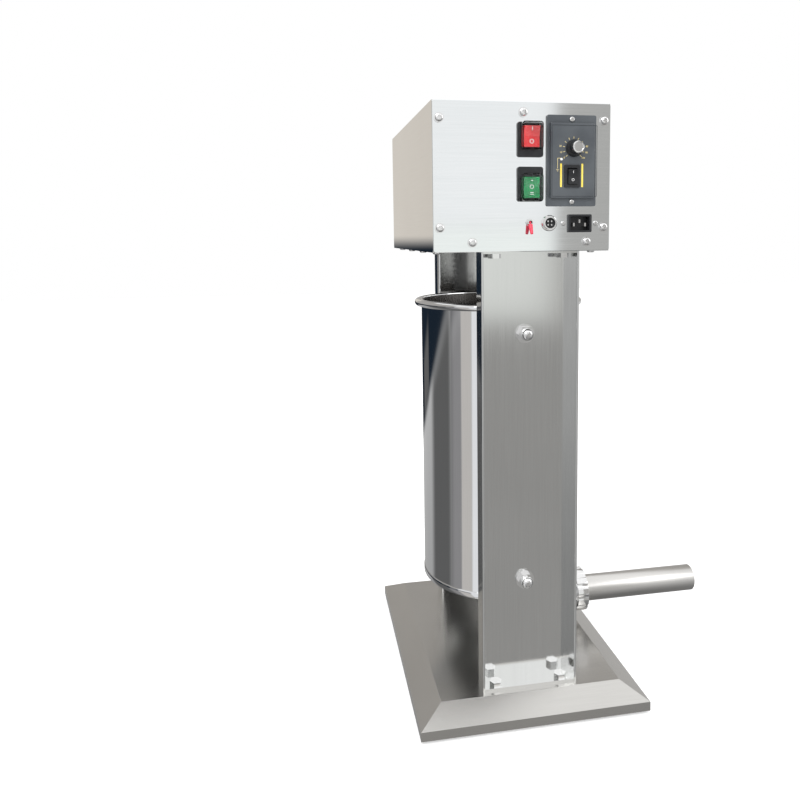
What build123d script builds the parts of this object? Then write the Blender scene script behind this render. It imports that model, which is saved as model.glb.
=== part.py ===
from build123d import *
import os
from math import acos, atan2, cos, degrees, pi, radians, sin, sqrt, tan

# Electric vertical sausage stuffer. Millimetres. The origin is on the table under the
# barrel's axis; +X is the nozzle's side, -Y the side with the controls, +Z is up.

os.makedirs("parts", exist_ok=True)

# Base: a folded pan with a bevelled edge on four rubber feet
base_width = 296.0
base_depth = 396.0
table_gap = 4.0
lip_height = 12.0
bevel_run = 30.0
pan_top = 32.5
pan_sheet = 2.0
foot_x = 95.0
foot_y = 145.0
foot_radius = 14.0
stud_radius = 3.0

# Columns: two channels, open outwards, between the base and the gear housing
column_width = 124.0
column_reach = 160.0
column_depth = 29.0
column_sheet = 3.0
column_bolt_x = 43.0
column_bolt_y = 150.0
column_bolt_radius = 4.0
column_bolt_across = 14.0

# Gear housing: floor, wrapped cover and two end panels
housing_left = -124.0
housing_right = 90.0
housing_reach = 184.0
housing_bottom = 590.0
housing_top = 762.0
floor_sheet = 2.0
cover_sheet = 1.5
panel_sheet = 2.0
screw_edge = 8.0
floor_screw_y = (-150.0, -50.0, 50.0, 150.0)

# Barrel, its bolts through the columns, and the outlet
barrel_bore = 106.0
barrel_wall = 2.0
barrel_bottom_z = 124.0
barrel_rim_z = 522.0
rim_roll = 5.0
pivot_z = 165.5
guide_z = 486.5
barrel_bolt_radius = 5.0
outlet_x = 60.0
outlet_z = 77.0
outlet_bore = 22.0
outlet_wall = 3.0
outlet_end = 120.5
nozzle_end = 306.0
nozzle_radius = 19.0
nozzle_wall = 1.5
nut_start = 114.0
nut_end = 130.0
nut_radius = 31.0
nozzle_shoulder = 20.5
shoulder_end = 130.5
thread_radius = 26.0

# Piston and its rack
piston_bottom = 126.5
seal_radius = 105.7
plate_radius = 104.5
lower_plate = 11.0
seal_height = 8.0
upper_plate = 6.0
rack_half = 12.0
rack_top = 748.0

# Gears: involute teeth at 20 degrees, with a little backlash
pressure = radians(20)
rack_module = 3.0
rack_pinion_teeth = 14
rack_pitch_x = -9.0
drive_module = 2.0
main_gear_teeth = 46
motor_pinion_teeth = 14
backlash = 0.5
main_shaft_radius = 10.0
motor_shaft_radius = 7.5
plate_front_y = -28.0
plate_rear_y = 60.0
gear_plate = 5.0
motor_x = -72.0
motor_z = 640.0
motor_size = 90.0
shaft_offset = 18.0
running_gap = 0.05
moving_gap = 0.35

# Controls on the front panel: places are X and Z on the panel's face
controller_x = 41.0
controller_z = 695.0
controller_width = 60.0
controller_height = 105.0
knob_x = 42.0
knob_z = 709.0
lamp_x = 27.0
lamp_z = 696.5
run_switch_x = 40.0
run_switch_z = 677.0
switch_x = -9.0
power_switch_z = 719.0
direction_switch_z = 668.0
window_shift = 4.0
socket_x = 14.5
socket_z = 623.0
inlet_x = 52.0
inlet_z = 622.5
inlet_pitch = 40.0
toggle_x = -9.5
toggle_z = 624.0

# Values worked out from the ones above
wall_outer = barrel_bore + barrel_wall
web_outer = column_reach - column_depth + column_sheet
web_inner = web_outer - column_sheet
column_top = housing_bottom
housing_mid = (housing_left + housing_right) / 2
housing_width = housing_right - housing_left
housing_height = housing_top - housing_bottom
floor_top = housing_bottom + floor_sheet
panel_face = -housing_reach
panel_back = panel_face + panel_sheet
rack_bottom = piston_bottom + lower_plate + seal_height + upper_plate
rack_pinion_pitch = rack_module * rack_pinion_teeth / 2
main_x = rack_pitch_x - rack_pinion_pitch
motor_shaft_z = motor_z + shaft_offset
shaft_distance = drive_module * (main_gear_teeth + motor_pinion_teeth) / 2
main_z = motor_shaft_z + sqrt(shaft_distance**2 - (main_x - motor_x) ** 2)
mesh_angle = atan2(motor_shaft_z - main_z, motor_x - main_x)
corners = [(sx, sy) for sx in (-1, 1) for sy in (-1, 1)]


def facing(y):
    """Plane square to Y, with X across and Z up. It extrudes towards -Y."""
    return Plane.XZ.offset(-y)


def save(piece, name):
    """Label a finished piece and write it under its own name."""
    piece.part.label = name
    export_step(piece.part, "parts/" + name + ".step")


def bar_y(places, radius, y_low, y_high, mode=Mode.ADD):
    """Round bars along Y at the given X and Z places."""
    with BuildSketch(facing(y_high)) as outline:
        with Locations(*places):
            Circle(radius)
    extrude(outline.sketch, amount=y_high - y_low, mode=mode)


def block_y(place, width, height, y_low, y_high, corner=0.0, mode=Mode.ADD):
    """A rectangular block along Y, centred at X and Z, with rounded long edges."""
    with BuildSketch(facing(y_high)) as outline:
        with Locations(place):
            if corner:
                RectangleRounded(width, height, corner)
            else:
                Rectangle(width, height)
    extrude(outline.sketch, amount=y_high - y_low, mode=mode)


def bar_z(places, radius, z_low, z_high, mode=Mode.ADD):
    """Round bars along Z at the given X and Y places."""
    with BuildSketch(Plane.XY.offset(z_low)) as outline:
        with Locations(*places):
            Circle(radius)
    extrude(outline.sketch, amount=z_high - z_low, mode=mode)


def hex_z(places, across, z_low, z_high):
    """Hexagons along Z at the given X and Y places."""
    with BuildSketch(Plane.XY.offset(z_low)) as outline:
        with Locations(*places):
            RegularPolygon(across / 2, 6, major_radius=False)
    extrude(outline.sketch, amount=z_high - z_low)


def bar_x(radius, x_low, x_high, mode=Mode.ADD):
    """A round bar along X on the outlet's axis."""
    with BuildSketch(Plane.YZ.offset(x_low)) as outline:
        with Locations((0, outlet_z)):
            Circle(radius)
    extrude(outline.sketch, amount=x_high - x_low, mode=mode)


# Base pan
def pan_outline(half, inset, lip_top, flat_top, flat_inset):
    """Half of the width or depth gives the pan's outline seen from that side."""
    return [
        (inset - half, table_gap),
        (half - inset, table_gap),
        (half - inset, lip_top),
        (half - flat_inset, flat_top),
        (flat_inset - half, flat_top),
        (inset - half, lip_top),
    ]


def pan_solid(*heights):
    """A low block with straight sides and a bevel up to its flat top, cut from both sides."""
    with BuildPart(mode=Mode.PRIVATE) as block:
        with BuildSketch(Plane.XZ):
            with BuildLine():
                Polyline(*pan_outline(base_width / 2, *heights), close=True)
            make_face()
        extrude(amount=base_depth / 2, both=True)
        with BuildSketch(Plane.YZ):
            with BuildLine():
                Polyline(*pan_outline(base_depth / 2, *heights), close=True)
            make_face()
        extrude(amount=base_width / 2, both=True, mode=Mode.INTERSECT)
    return block.part


bevel_slope = (pan_top - table_gap - lip_height) / bevel_run
bevel_drop = pan_sheet * sqrt(1 + bevel_slope**2)
inner_lip_top = table_gap + lip_height + pan_sheet * bevel_slope - bevel_drop
inner_flat_inset = bevel_run + (bevel_drop - pan_sheet) / bevel_slope
column_bolt_places = [(sx * column_bolt_x, sy * column_bolt_y) for sx, sy in corners]
foot_places = [(sx * foot_x, sy * foot_y) for sx, sy in corners]

pan_inside = pan_solid(pan_sheet, inner_lip_top, pan_top - pan_sheet, inner_flat_inset)

with BuildPart() as base_pan:
    add(pan_solid(0, table_gap + lip_height, pan_top, bevel_run))
    fillet(base_pan.edges().filter_by_position(Axis.Z, pan_top, pan_top), 1.5)
    add(pan_inside, mode=Mode.SUBTRACT)
    bar_z(column_bolt_places, column_bolt_radius + 0.5, table_gap, pan_top, Mode.SUBTRACT)
    bar_z(foot_places, stud_radius, 14.0, pan_top - pan_sheet)
save(base_pan, "base_pan")

# Rubber feet, moulded round the pan's weld studs
with BuildPart() as rubber_feet:
    with BuildSketch(Plane.XZ) as foot_profile:
        with BuildLine():
            Polyline(
                (stud_radius + running_gap, 12.0),
                (stud_radius + running_gap, pan_top - pan_sheet),
                (11.0, pan_top - pan_sheet),
                (foot_radius, 2.0),
                (foot_radius - 2.0, 0),
                (0, 0),
                (0, 12.0),
                close=True,
            )
        make_face()
    foot = revolve(axis=Axis.Z, mode=Mode.PRIVATE)
    with Locations(*foot_places):
        add(foot)
save(rubber_feet, "rubber_feet")


# Columns: web towards the barrel, side flanges and end tabs turned outwards
def build_column(side):
    """The channel at the control end has side -1, the far one +1."""
    web_mid = side * (web_inner + web_outer) / 2
    depth_mid = side * (column_reach + web_inner) / 2
    tab_mid = side * (column_reach - 1.0 + web_outer) / 2
    with BuildPart() as column:
        with BuildSketch(Plane.XY.offset(pan_top)):
            with Locations((0, depth_mid)):
                Rectangle(column_width, column_depth)
            fillet(vertices_at(side * web_inner), 4.0)
            with Locations((0, depth_mid + side * column_sheet)):
                Rectangle(column_width - 2 * column_sheet, column_depth, mode=Mode.SUBTRACT)
        extrude(amount=column_top - pan_top)
        for tab_low in (pan_top, column_top - column_sheet):
            with BuildSketch(Plane.XY.offset(tab_low)):
                with Locations((0, tab_mid)):
                    Rectangle(column_width - 2 * column_sheet, column_reach - 1.0 - web_outer)
            extrude(amount=column_sheet)
        with BuildSketch(facing(web_mid + column_sheet)):
            with Locations((0, pivot_z), (0, guide_z)):
                Circle(barrel_bolt_radius + running_gap)
        extrude(amount=2 * column_sheet, mode=Mode.SUBTRACT)
        places = [(sx * column_bolt_x, side * column_bolt_y) for sx in (-1, 1)]
        bar_z(places, column_bolt_radius + 0.5, pan_top, column_top, Mode.SUBTRACT)
    return column


def vertices_at(y):
    """The sketch's corners that lie at one Y."""
    return [v for v in vertices() if abs(v.Y - y) < 0.01]


save(build_column(-1), "column_front")
save(build_column(1), "column_rear")

# Hexagon bolts through both ends of the columns, and their nuts
head_height = 5.5
nut_height = 6.5
with BuildPart() as column_bolts:
    bolt_base = pan_top + column_sheet
    bolt_top = column_top - column_sheet
    hex_z(column_bolt_places, column_bolt_across, bolt_base, bolt_base + head_height)
    hex_z(column_bolt_places, column_bolt_across, bolt_top - head_height, bolt_top)
    bar_z(column_bolt_places, column_bolt_radius, pan_top - pan_sheet - nut_height - 2.0, bolt_base)
    bar_z(column_bolt_places, column_bolt_radius, bolt_top, floor_top + nut_height + 2.0)
save(column_bolts, "column_bolts")

with BuildPart() as column_nuts:
    for nut_low in (pan_top - pan_sheet - nut_height, floor_top):
        hex_z(column_bolt_places, column_bolt_across, nut_low, nut_low + nut_height)
    bar_z(column_bolt_places, column_bolt_radius, table_gap, housing_top, Mode.SUBTRACT)
save(column_nuts, "column_nuts")

# Housing floor, with the rack's passage and the screw holes along both sides
screw_radius = 2.5
screw_hole = screw_radius + 0.2
return_width = 17.0
end_flange = 12.5
floor_places = [
    (x, y) for x in (housing_left + 10.0, housing_right - 10.0) for y in floor_screw_y
]
with BuildPart() as housing_floor:
    with BuildSketch(Plane.XY.offset(housing_bottom)):
        with Locations((housing_mid, 0)):
            Rectangle(housing_width - 2 * cover_sheet, 2 * (housing_reach - panel_sheet))
        Rectangle(32.0, 32.0, mode=Mode.SUBTRACT)
        with Locations(*column_bolt_places):
            Circle(column_bolt_radius + 0.5, mode=Mode.SUBTRACT)
        with Locations(*floor_places):
            Circle(screw_hole, mode=Mode.SUBTRACT)
    extrude(amount=floor_sheet)
save(housing_floor, "housing_floor")

# Housing cover: sides and top in one sheet, with returns over the floor and at the ends
side_screws = [
    (x, z)
    for x in (housing_left + screw_edge, housing_right - screw_edge)
    for z in (housing_bottom + 28.0, housing_top - 20.0)
]
edge_screws = [
    (housing_mid, housing_top - 12.0),
    (-78.0, housing_bottom + 11.0),
    (61.0, housing_bottom + 11.0),
]
panel_screw_places = side_screws + edge_screws
cover_length = 2 * (housing_reach - panel_sheet)
housing_centre = (housing_mid, (housing_bottom + housing_top) / 2)
with BuildPart() as housing_cover:
    with BuildSketch(facing(cover_length / 2)):
        with Locations(housing_centre):
            Rectangle(housing_width, housing_height)
        fillet([v for v in vertices() if v.Z > housing_bottom + 1], 3.0)
        with Locations((housing_mid, (floor_top + housing_top) / 2)):
            Rectangle(
                housing_width - 2 * cover_sheet,
                housing_top - floor_top - 2 * cover_sheet,
                mode=Mode.SUBTRACT,
            )
        with Locations((housing_mid, housing_bottom + floor_sheet / 2)):
            Rectangle(housing_width - 2 * cover_sheet, floor_sheet, mode=Mode.SUBTRACT)
        with Locations((housing_mid, floor_top + cover_sheet / 2)):
            Rectangle(housing_width - 2 * return_width, 2 * cover_sheet, mode=Mode.SUBTRACT)
    extrude(amount=cover_length)
    for flange_high in (cover_length / 2, -cover_length / 2 + cover_sheet):
        with BuildSketch(facing(flange_high)):
            with Locations((housing_mid, (floor_top + housing_top) / 2)):
                Rectangle(housing_width - 2 * cover_sheet, housing_top - floor_top - 2 * cover_sheet)
                Rectangle(
                    housing_width - 2 * end_flange,
                    housing_top - floor_top - 2 * return_width,
                    mode=Mode.SUBTRACT,
                )
        extrude(amount=cover_sheet)
    with BuildSketch(facing(housing_reach)):
        with Locations(*panel_screw_places):
            Circle(screw_hole)
    extrude(amount=2 * housing_reach, mode=Mode.SUBTRACT)
    with BuildSketch(Plane.XY.offset(floor_top)):
        with Locations(*floor_places):
            Circle(screw_hole)
    extrude(amount=cover_sheet, mode=Mode.SUBTRACT)
    with BuildSketch(Plane.XY.offset(housing_top - 2 * cover_sheet)):
        Rectangle(32.0, 32.0)
    extrude(amount=3 * cover_sheet, mode=Mode.SUBTRACT)
save(housing_cover, "housing_cover")

# End panels
controller_cutout = (controller_width - 6.0, controller_height - 21.0)
controller_screws = [(controller_x, controller_z + dz) for dz in (-47.5, 47.5)]
inlet_screws = [(inlet_x + dx, inlet_z) for dx in (-inlet_pitch / 2, inlet_pitch / 2)]
big_switch_places = [(switch_x, power_switch_z), (switch_x, direction_switch_z)]
window_places = [
    (switch_x, power_switch_z + window_shift),
    (switch_x, direction_switch_z - window_shift),
]
big_switch_body = (24.5, 31.0)
inlet_body = (29.0, 21.0)
socket_thread = 8.0
toggle_thread = 3.0
small_screw = 1.5


def panel_plate(y_low):
    """An end panel's plate with its seven screw holes."""
    block_y(housing_centre, housing_width, housing_height, y_low, y_low + panel_sheet, 3.0)
    bar_y(panel_screw_places, screw_hole, y_low, y_low + panel_sheet, Mode.SUBTRACT)


with BuildPart() as front_panel:
    panel_plate(panel_face)
    chamfer(front_panel.faces().sort_by(Axis.Y)[0].outer_wire().edges(), 0.6)
    with BuildSketch(facing(panel_back)):
        with Locations((controller_x, controller_z)):
            Rectangle(*controller_cutout)
        with Locations(*window_places):
            Rectangle(*big_switch_body)
        with Locations((inlet_x, inlet_z)):
            Rectangle(*inlet_body)
        with Locations((socket_x, socket_z)):
            Circle(socket_thread)
        with Locations((toggle_x, toggle_z)):
            Circle(toggle_thread)
        with Locations(*controller_screws, *inlet_screws):
            Circle(small_screw)
    extrude(amount=panel_sheet, mode=Mode.SUBTRACT)
save(front_panel, "front_panel")

with BuildPart() as rear_panel:
    panel_plate(housing_reach - panel_sheet)
    chamfer(rear_panel.faces().sort_by(Axis.Y)[-1].outer_wire().edges(), 0.6)
save(rear_panel, "rear_panel")

# Pan-head screws and washers that hold the end panels
washer_radius = 5.8
washer_height = 0.9
pan_head_radius = 4.6
pan_head_height = 2.8
screw_reach = 6.0
floor_screw_reach = 4.5


def pan_screw(axis_plane, head_radius, head, shank_radius, shank):
    """A pan-head screw standing on the plane, its head on the positive side."""
    with BuildPart(mode=Mode.PRIVATE) as screw:
        with BuildSketch(axis_plane):
            Circle(head_radius)
        extrude(amount=head)
        fillet(screw.edges().filter_by(GeomType.CIRCLE).sort_by_distance(axis_plane.origin)[-1], head * 0.6)
        with BuildSketch(axis_plane):
            Circle(shank_radius)
        extrude(amount=-shank)
    return screw.part


with BuildPart() as panel_screws:
    for face_y, direction in ((panel_face - washer_height, -1), (housing_reach + washer_height, 1)):
        for x, z in panel_screw_places:
            seat = Plane(origin=(x, face_y, z), x_dir=(1, 0, 0), z_dir=(0, direction, 0))
            add(pan_screw(seat, pan_head_radius, pan_head_height, screw_radius, screw_reach))
save(panel_screws, "panel_screws")

with BuildPart() as panel_washers:
    for washer_low in (panel_face - washer_height, housing_reach):
        bar_y(panel_screw_places, washer_radius, washer_low, washer_low + washer_height)
    bar_y(panel_screw_places, screw_radius, -housing_reach - 2.0, housing_reach + 2.0, Mode.SUBTRACT)
save(panel_washers, "panel_washers")

# Screws up through the floor into the cover's returns
with BuildPart() as floor_screws:
    for x, y in floor_places:
        seat = Plane(origin=(x, y, housing_bottom), x_dir=(1, 0, 0), z_dir=(0, 0, -1))
        add(pan_screw(seat, pan_head_radius, pan_head_height, screw_radius, floor_screw_reach))
save(floor_screws, "floor_screws")

# Nylon guides of the rack: a bush in the floor, a backing block at the pinion, a top collar
rack_hole = 2 * (rack_half + moving_gap)
with BuildPart() as rack_guides:
    with BuildSketch(Plane.XY.offset(housing_bottom)):
        Rectangle(31.6, 31.6)
        Rectangle(rack_hole, rack_hole, mode=Mode.SUBTRACT)
    extrude(amount=floor_sheet)
    with BuildSketch(Plane.XY.offset(floor_top)):
        RectangleRounded(46.0, 46.0, 4.0)
        Rectangle(rack_hole, rack_hole, mode=Mode.SUBTRACT)
    extrude(amount=8.0)
    with BuildSketch(Plane.XY.offset(main_z - 22.0)):
        with Locations((11.0, 0)):
            Rectangle(30.0, 2 * (-plate_front_y - gear_plate))
        with Locations((rack_half + moving_gap - 20.0, 0)):
            Rectangle(40.0, rack_hole, mode=Mode.SUBTRACT)
    extrude(amount=44.0)
    with BuildSketch(Plane.XY.offset(housing_top)):
        RectangleRounded(46.0, 46.0, 4.0)
        Rectangle(rack_hole, rack_hole, mode=Mode.SUBTRACT)
    extrude(amount=3.0)
    with BuildSketch(Plane.XY.offset(housing_top - 5.0)):
        Rectangle(31.6, 31.6)
        Rectangle(rack_hole, rack_hole, mode=Mode.SUBTRACT)
    extrude(amount=5.0)
save(rack_guides, "rack_guides")

# Two gearbox plates with feet, their spacers and the main shaft's bushes
plate_left = housing_left + 4.0
plate_right = 34.0
plate_top = housing_top - 8.0
plate_foot = 20.0
bush_outer = 15.0
pilot_radius = 17.0
gearhead_bolt = 36.8
gearhead_places = [
    (motor_x + sx * gearhead_bolt, motor_z + sz * gearhead_bolt) for sx, sz in corners
]
spacer_places = [(-112.0, 738.0), (25.0, 738.0), (25.0, 612.0)]
plate_mid = ((plate_left + plate_right) / 2, (floor_top + plate_top) / 2)


def gearbox_plate(y_low, feet):
    """One upright plate, notched over the cover's return, with feet bent to either side."""
    with BuildPart() as plate:
        block_y(plate_mid, plate_right - plate_left, plate_top - floor_top, y_low, y_low + gear_plate)
        notch_width = 2 * (return_width + 1.0 - (plate_left - housing_left))
        notch = ((plate_left, floor_top), notch_width, 2 * cover_sheet + 0.4)
        block_y(*notch, y_low, y_low + gear_plate, mode=Mode.SUBTRACT)
        for foot_x_mid, foot_side in feet:
            foot_y_mid = y_low + gear_plate / 2 + foot_side * plate_foot / 2
            with BuildSketch(Plane.XY.offset(floor_top)):
                with Locations((foot_x_mid, foot_y_mid)):
                    Rectangle(plate_foot, plate_foot)
            extrude(amount=gear_plate)
        bar_y([(main_x, main_z)], bush_outer, y_low, y_low + gear_plate, Mode.SUBTRACT)
    return plate


with BuildPart() as gearbox_plate_front:
    add(gearbox_plate(plate_front_y, [(-92.0, 1), (23.0, -1)]).part)
    front_low = plate_front_y
    front_high = plate_front_y + gear_plate
    bar_y([(motor_x, motor_shaft_z)], pilot_radius, front_low, front_high, Mode.SUBTRACT)
    bar_y(gearhead_places, 3.2, front_low, front_high, Mode.SUBTRACT)
save(gearbox_plate_front, "gearbox_plate_front")
save(gearbox_plate(plate_rear_y, [(-92.0, 1), (23.0, 1)]), "gearbox_plate_rear")

with BuildPart() as gearbox_spacers:
    bar_y(spacer_places, 6.0, plate_front_y + gear_plate, plate_rear_y)
save(gearbox_spacers, "gearbox_spacers")

with BuildPart() as shaft_bushes:
    for bush_low in (plate_front_y, plate_rear_y):
        flange_low = bush_low + gear_plate
        bar_y([(main_x, main_z)], bush_outer, bush_low, flange_low)
        bar_y([(main_x, main_z)], bush_outer + 3.0, flange_low, flange_low + 2.0)
    bar_y([(main_x, main_z)], main_shaft_radius + running_gap, -40.0, 90.0, Mode.SUBTRACT)
save(shaft_bushes, "shaft_bushes")

# Motor and its gearhead, whose output shaft is off the motor's centre
gearhead_length = 50.0
motor_length = 98.0
motor_front = plate_front_y - gearhead_length
with BuildPart() as motor_body:
    block_y((motor_x, motor_z), motor_size, motor_size, motor_front - 12.0, motor_front, 6.0)
    bar_y([(motor_x, motor_z)], motor_size / 2 - 2.0, motor_front - motor_length, motor_front - 12.0)
    motor_end = motor_body.faces().sort_by(Axis.Y)[0]
    fillet(motor_end.edges(), 5.0)
save(motor_body, "motor_body")

with BuildPart() as gearhead:
    block_y((motor_x, motor_z), motor_size, motor_size, motor_front, plate_front_y, 6.0)
    bar_y([(motor_x, motor_shaft_z)], pilot_radius, plate_front_y, plate_front_y + gear_plate)
    shaft_bore = motor_shaft_radius + running_gap
    bar_y([(motor_x, motor_shaft_z)], shaft_bore, motor_front + 8.0, plate_front_y + gear_plate, Mode.SUBTRACT)
    bar_y(gearhead_places, 3.0, motor_front + 20.0, plate_front_y, Mode.SUBTRACT)
save(gearhead, "gearhead")

with BuildPart() as gearhead_screws:
    bar_y(gearhead_places, 3.0, motor_front + 22.0, plate_front_y + gear_plate)
    bar_y(gearhead_places, 5.0, plate_front_y + gear_plate, plate_front_y + gear_plate + 5.0)
save(gearhead_screws, "gearhead_screws")

with BuildPart() as run_capacitor:
    with BuildSketch(Plane.XY.offset(floor_top)):
        with Locations((45.0, 115.0)):
            Circle(18.0)
    extrude(amount=68.0)
    fillet(run_capacitor.edges().sort_by(Axis.Z)[-1], 3.0)
    with BuildSketch(Plane.XY.offset(floor_top + 68.0)):
        with Locations((40.0, 115.0), (50.0, 115.0)):
            Rectangle(0.8, 6.0)
    extrude(amount=9.0)
save(run_capacitor, "run_capacitor")

# Speed controller: case behind the panel, stepped front plate before it
bezel_sheet = 3.0
raised_height = 4.0
bezel_front = panel_face - bezel_sheet
raised_front = bezel_front - raised_height
raised_size = (53.5, 86.0)
knob_spindle = 3.0
run_body = (14.6, 21.6)
with BuildPart() as controller_case:
    block_y((controller_x, controller_z), *controller_cutout, panel_face, panel_face + 84.0)
    block_y((run_switch_x, run_switch_z), *run_body, panel_face, panel_face + 18.0, mode=Mode.SUBTRACT)
save(controller_case, "controller_case")

with BuildPart() as controller_bezel:
    block_y((controller_x, controller_z), controller_width, controller_height, bezel_front, panel_face, 2.0)
    block_y((controller_x, controller_z), *raised_size, raised_front, bezel_front, 1.0)
    chamfer(controller_bezel.faces().sort_by(Axis.Y)[0].edges(), 0.5)
    block_y((run_switch_x, run_switch_z), *run_body, raised_front, panel_face, mode=Mode.SUBTRACT)
    bar_y([(lamp_x, lamp_z)], 1.5, raised_front, panel_face, Mode.SUBTRACT)
    bar_y([(knob_x, knob_z)], knob_spindle, raised_front, panel_face, Mode.SUBTRACT)
    bar_y(controller_screws, small_screw, bezel_front, panel_face, Mode.SUBTRACT)
save(controller_bezel, "controller_bezel")

with BuildPart() as power_lamp:
    bar_y([(lamp_x, lamp_z)], 1.5, raised_front - 1.2, panel_face)
    fillet(power_lamp.edges().sort_by(Axis.Y)[0], 1.0)
save(power_lamp, "power_lamp")

with BuildPart() as small_screws:
    for x, z in controller_screws:
        seat = Plane(origin=(x, bezel_front, z), x_dir=(1, 0, 0), z_dir=(0, -1, 0))
        add(pan_screw(seat, 3.0, 1.8, small_screw, 8.0))
    for x, z in inlet_screws:
        seat = Plane(origin=(x, panel_face, z), x_dir=(1, 0, 0), z_dir=(0, -1, 0))
        add(pan_screw(seat, 2.8, 1.6, small_screw, 5.5))
save(small_screws, "small_screws")

# Large rocker switches: body with frame, clear boots, and rockers on a cross pin
frame_size = (31.0, 40.0)
frame_sheet = 2.5
window_size = (20.0, 27.4)
rocker_size = (18.6, 24.0)
rocker_pivot_y = panel_face - 1.0
boot_wall = 1.2
boot_height = 12.0
boot_size = (25.0, 31.5)
with BuildPart() as switch_bodies:
    for place in big_switch_places:
        block_y(place, *frame_size, panel_face - frame_sheet, panel_face, 3.0)
    for place in window_places:
        block_y(place, *big_switch_body, panel_face, panel_face + 30.0)
        block_y(place, *window_size, panel_face - frame_sheet, panel_face + 12.0, mode=Mode.SUBTRACT)
        for terminal in (-8.0, 0.0, 8.0):
            block_y((place[0], place[1] + terminal), 6.0, 0.8, panel_face + 30.0, panel_face + 38.0)
save(switch_bodies, "switch_bodies")

boot_front = panel_face - frame_sheet - boot_height
with BuildPart() as switch_boots:
    for place in window_places:
        block_y(place, *boot_size, boot_front, panel_face - frame_sheet, 3.5)
    fillet(switch_boots.faces().filter_by_position(Axis.Y, boot_front, boot_front).edges(), 1.5)
    for place in window_places:
        block_y(
            place,
            boot_size[0] - 2 * boot_wall,
            boot_size[1] - 2 * boot_wall,
            boot_front + boot_wall,
            panel_face - frame_sheet,
            2.3,
            mode=Mode.SUBTRACT,
        )
save(switch_boots, "switch_boots")


def build_rocker(place, size, pivot_y, reach, tilt, dish):
    """A rocker that turns about X, with a shallow V face, drawn from its side."""
    x, z = place
    half = size[1] / 2
    rest = Plane(
        origin=(x - size[0] / 2, pivot_y, z),
        x_dir=(0, cos(radians(tilt)), sin(radians(tilt))),
        z_dir=(1, 0, 0),
    )
    with BuildPart() as rocker:
        with BuildSketch(rest):
            with BuildLine():
                Polyline(
                    (-reach, -half),
                    (-reach + dish, 0),
                    (-reach, half),
                    (0, half),
                    (reach * 0.6, 0),
                    (0, -half),
                    close=True,
                )
            make_face()
        extrude(amount=size[0])
        chamfer(rocker.faces().sort_by(Axis.X)[0].edges(), 0.5)
    return rocker


rocker_tilt = 8.0
save(build_rocker(window_places[0], rocker_size, rocker_pivot_y, 8.0, rocker_tilt, 1.6), "power_rocker")
save(build_rocker(window_places[1], rocker_size, rocker_pivot_y, 8.0, 0.0, 1.6), "direction_rocker")

# Small rocker switch in the controller
run_frame = (19.0, 26.0)
run_window = (12.0, 19.0)
run_rocker_size = (11.0, 17.2)
with BuildPart() as run_switch_body:
    run_place = (run_switch_x, run_switch_z)
    block_y(run_place, *run_frame, raised_front - 1.5, raised_front, 1.5)
    block_y(run_place, *run_body, raised_front, panel_face + 18.0)
    block_y(run_place, *run_window, raised_front - 1.5, raised_front + 10.0, mode=Mode.SUBTRACT)
save(run_switch_body, "run_switch_body")
save(build_rocker(run_place, run_rocker_size, raised_front, 4.6, rocker_tilt, 0.9), "run_rocker")

# Speed knob: fluted skirt, cap and pointer, on the controller's spindle
knob_back = raised_front - 1.0
knob_flutes = 18
with BuildPart() as speed_knob:
    with BuildSketch(facing(knob_back)):
        with Locations((knob_x, knob_z)):
            Circle(10.0)
    extrude(amount=5.0, taper=6)
    with BuildSketch(facing(knob_back - 5.0)):
        with Locations((knob_x, knob_z)):
            Circle(7.6)
            with PolarLocations(7.9, knob_flutes):
                Circle(0.7, mode=Mode.SUBTRACT)
    extrude(amount=10.0)
    bar_y([(knob_x, knob_z)], 6.4, knob_back - 16.0, knob_back - 15.0)
    bar_y([(knob_x, knob_z)], knob_spindle - running_gap, knob_back, panel_face - 1.0)
save(speed_knob, "speed_knob")

# Foot-pedal socket: threaded shell with flange, insulating insert
with BuildPart() as socket_shell:
    bar_y([(socket_x, socket_z)], 9.4, panel_face - 2.5, panel_face)
    chamfer(socket_shell.edges().filter_by(GeomType.CIRCLE).sort_by(Axis.Y)[0], 0.8)
    bar_y([(socket_x, socket_z)], 7.6, panel_face - 5.5, panel_face - 2.5)
    bar_y([(socket_x, socket_z)], socket_thread, panel_face, panel_face + 14.0)
    bar_y([(socket_x, socket_z)], 6.2, panel_face - 5.5, panel_face + 14.0, Mode.SUBTRACT)
    with BuildSketch(facing(panel_back + 4.0)):
        with Locations((socket_x, socket_z)):
            RegularPolygon(10.0, 6, major_radius=False)
            Circle(socket_thread, mode=Mode.SUBTRACT)
    extrude(amount=4.0)
save(socket_shell, "socket_shell")

socket_pin_offset = 3.0 / sqrt(2)
socket_pins = [
    (socket_x + sx * socket_pin_offset, socket_z + sz * socket_pin_offset) for sx, sz in corners
]
with BuildPart() as socket_insert:
    bar_y([(socket_x, socket_z)], 6.2, panel_face - 0.5, panel_face + 13.0)
    bar_y(socket_pins, 0.9, panel_face - 0.5, panel_face + 13.0, Mode.SUBTRACT)
save(socket_insert, "socket_insert")

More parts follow.
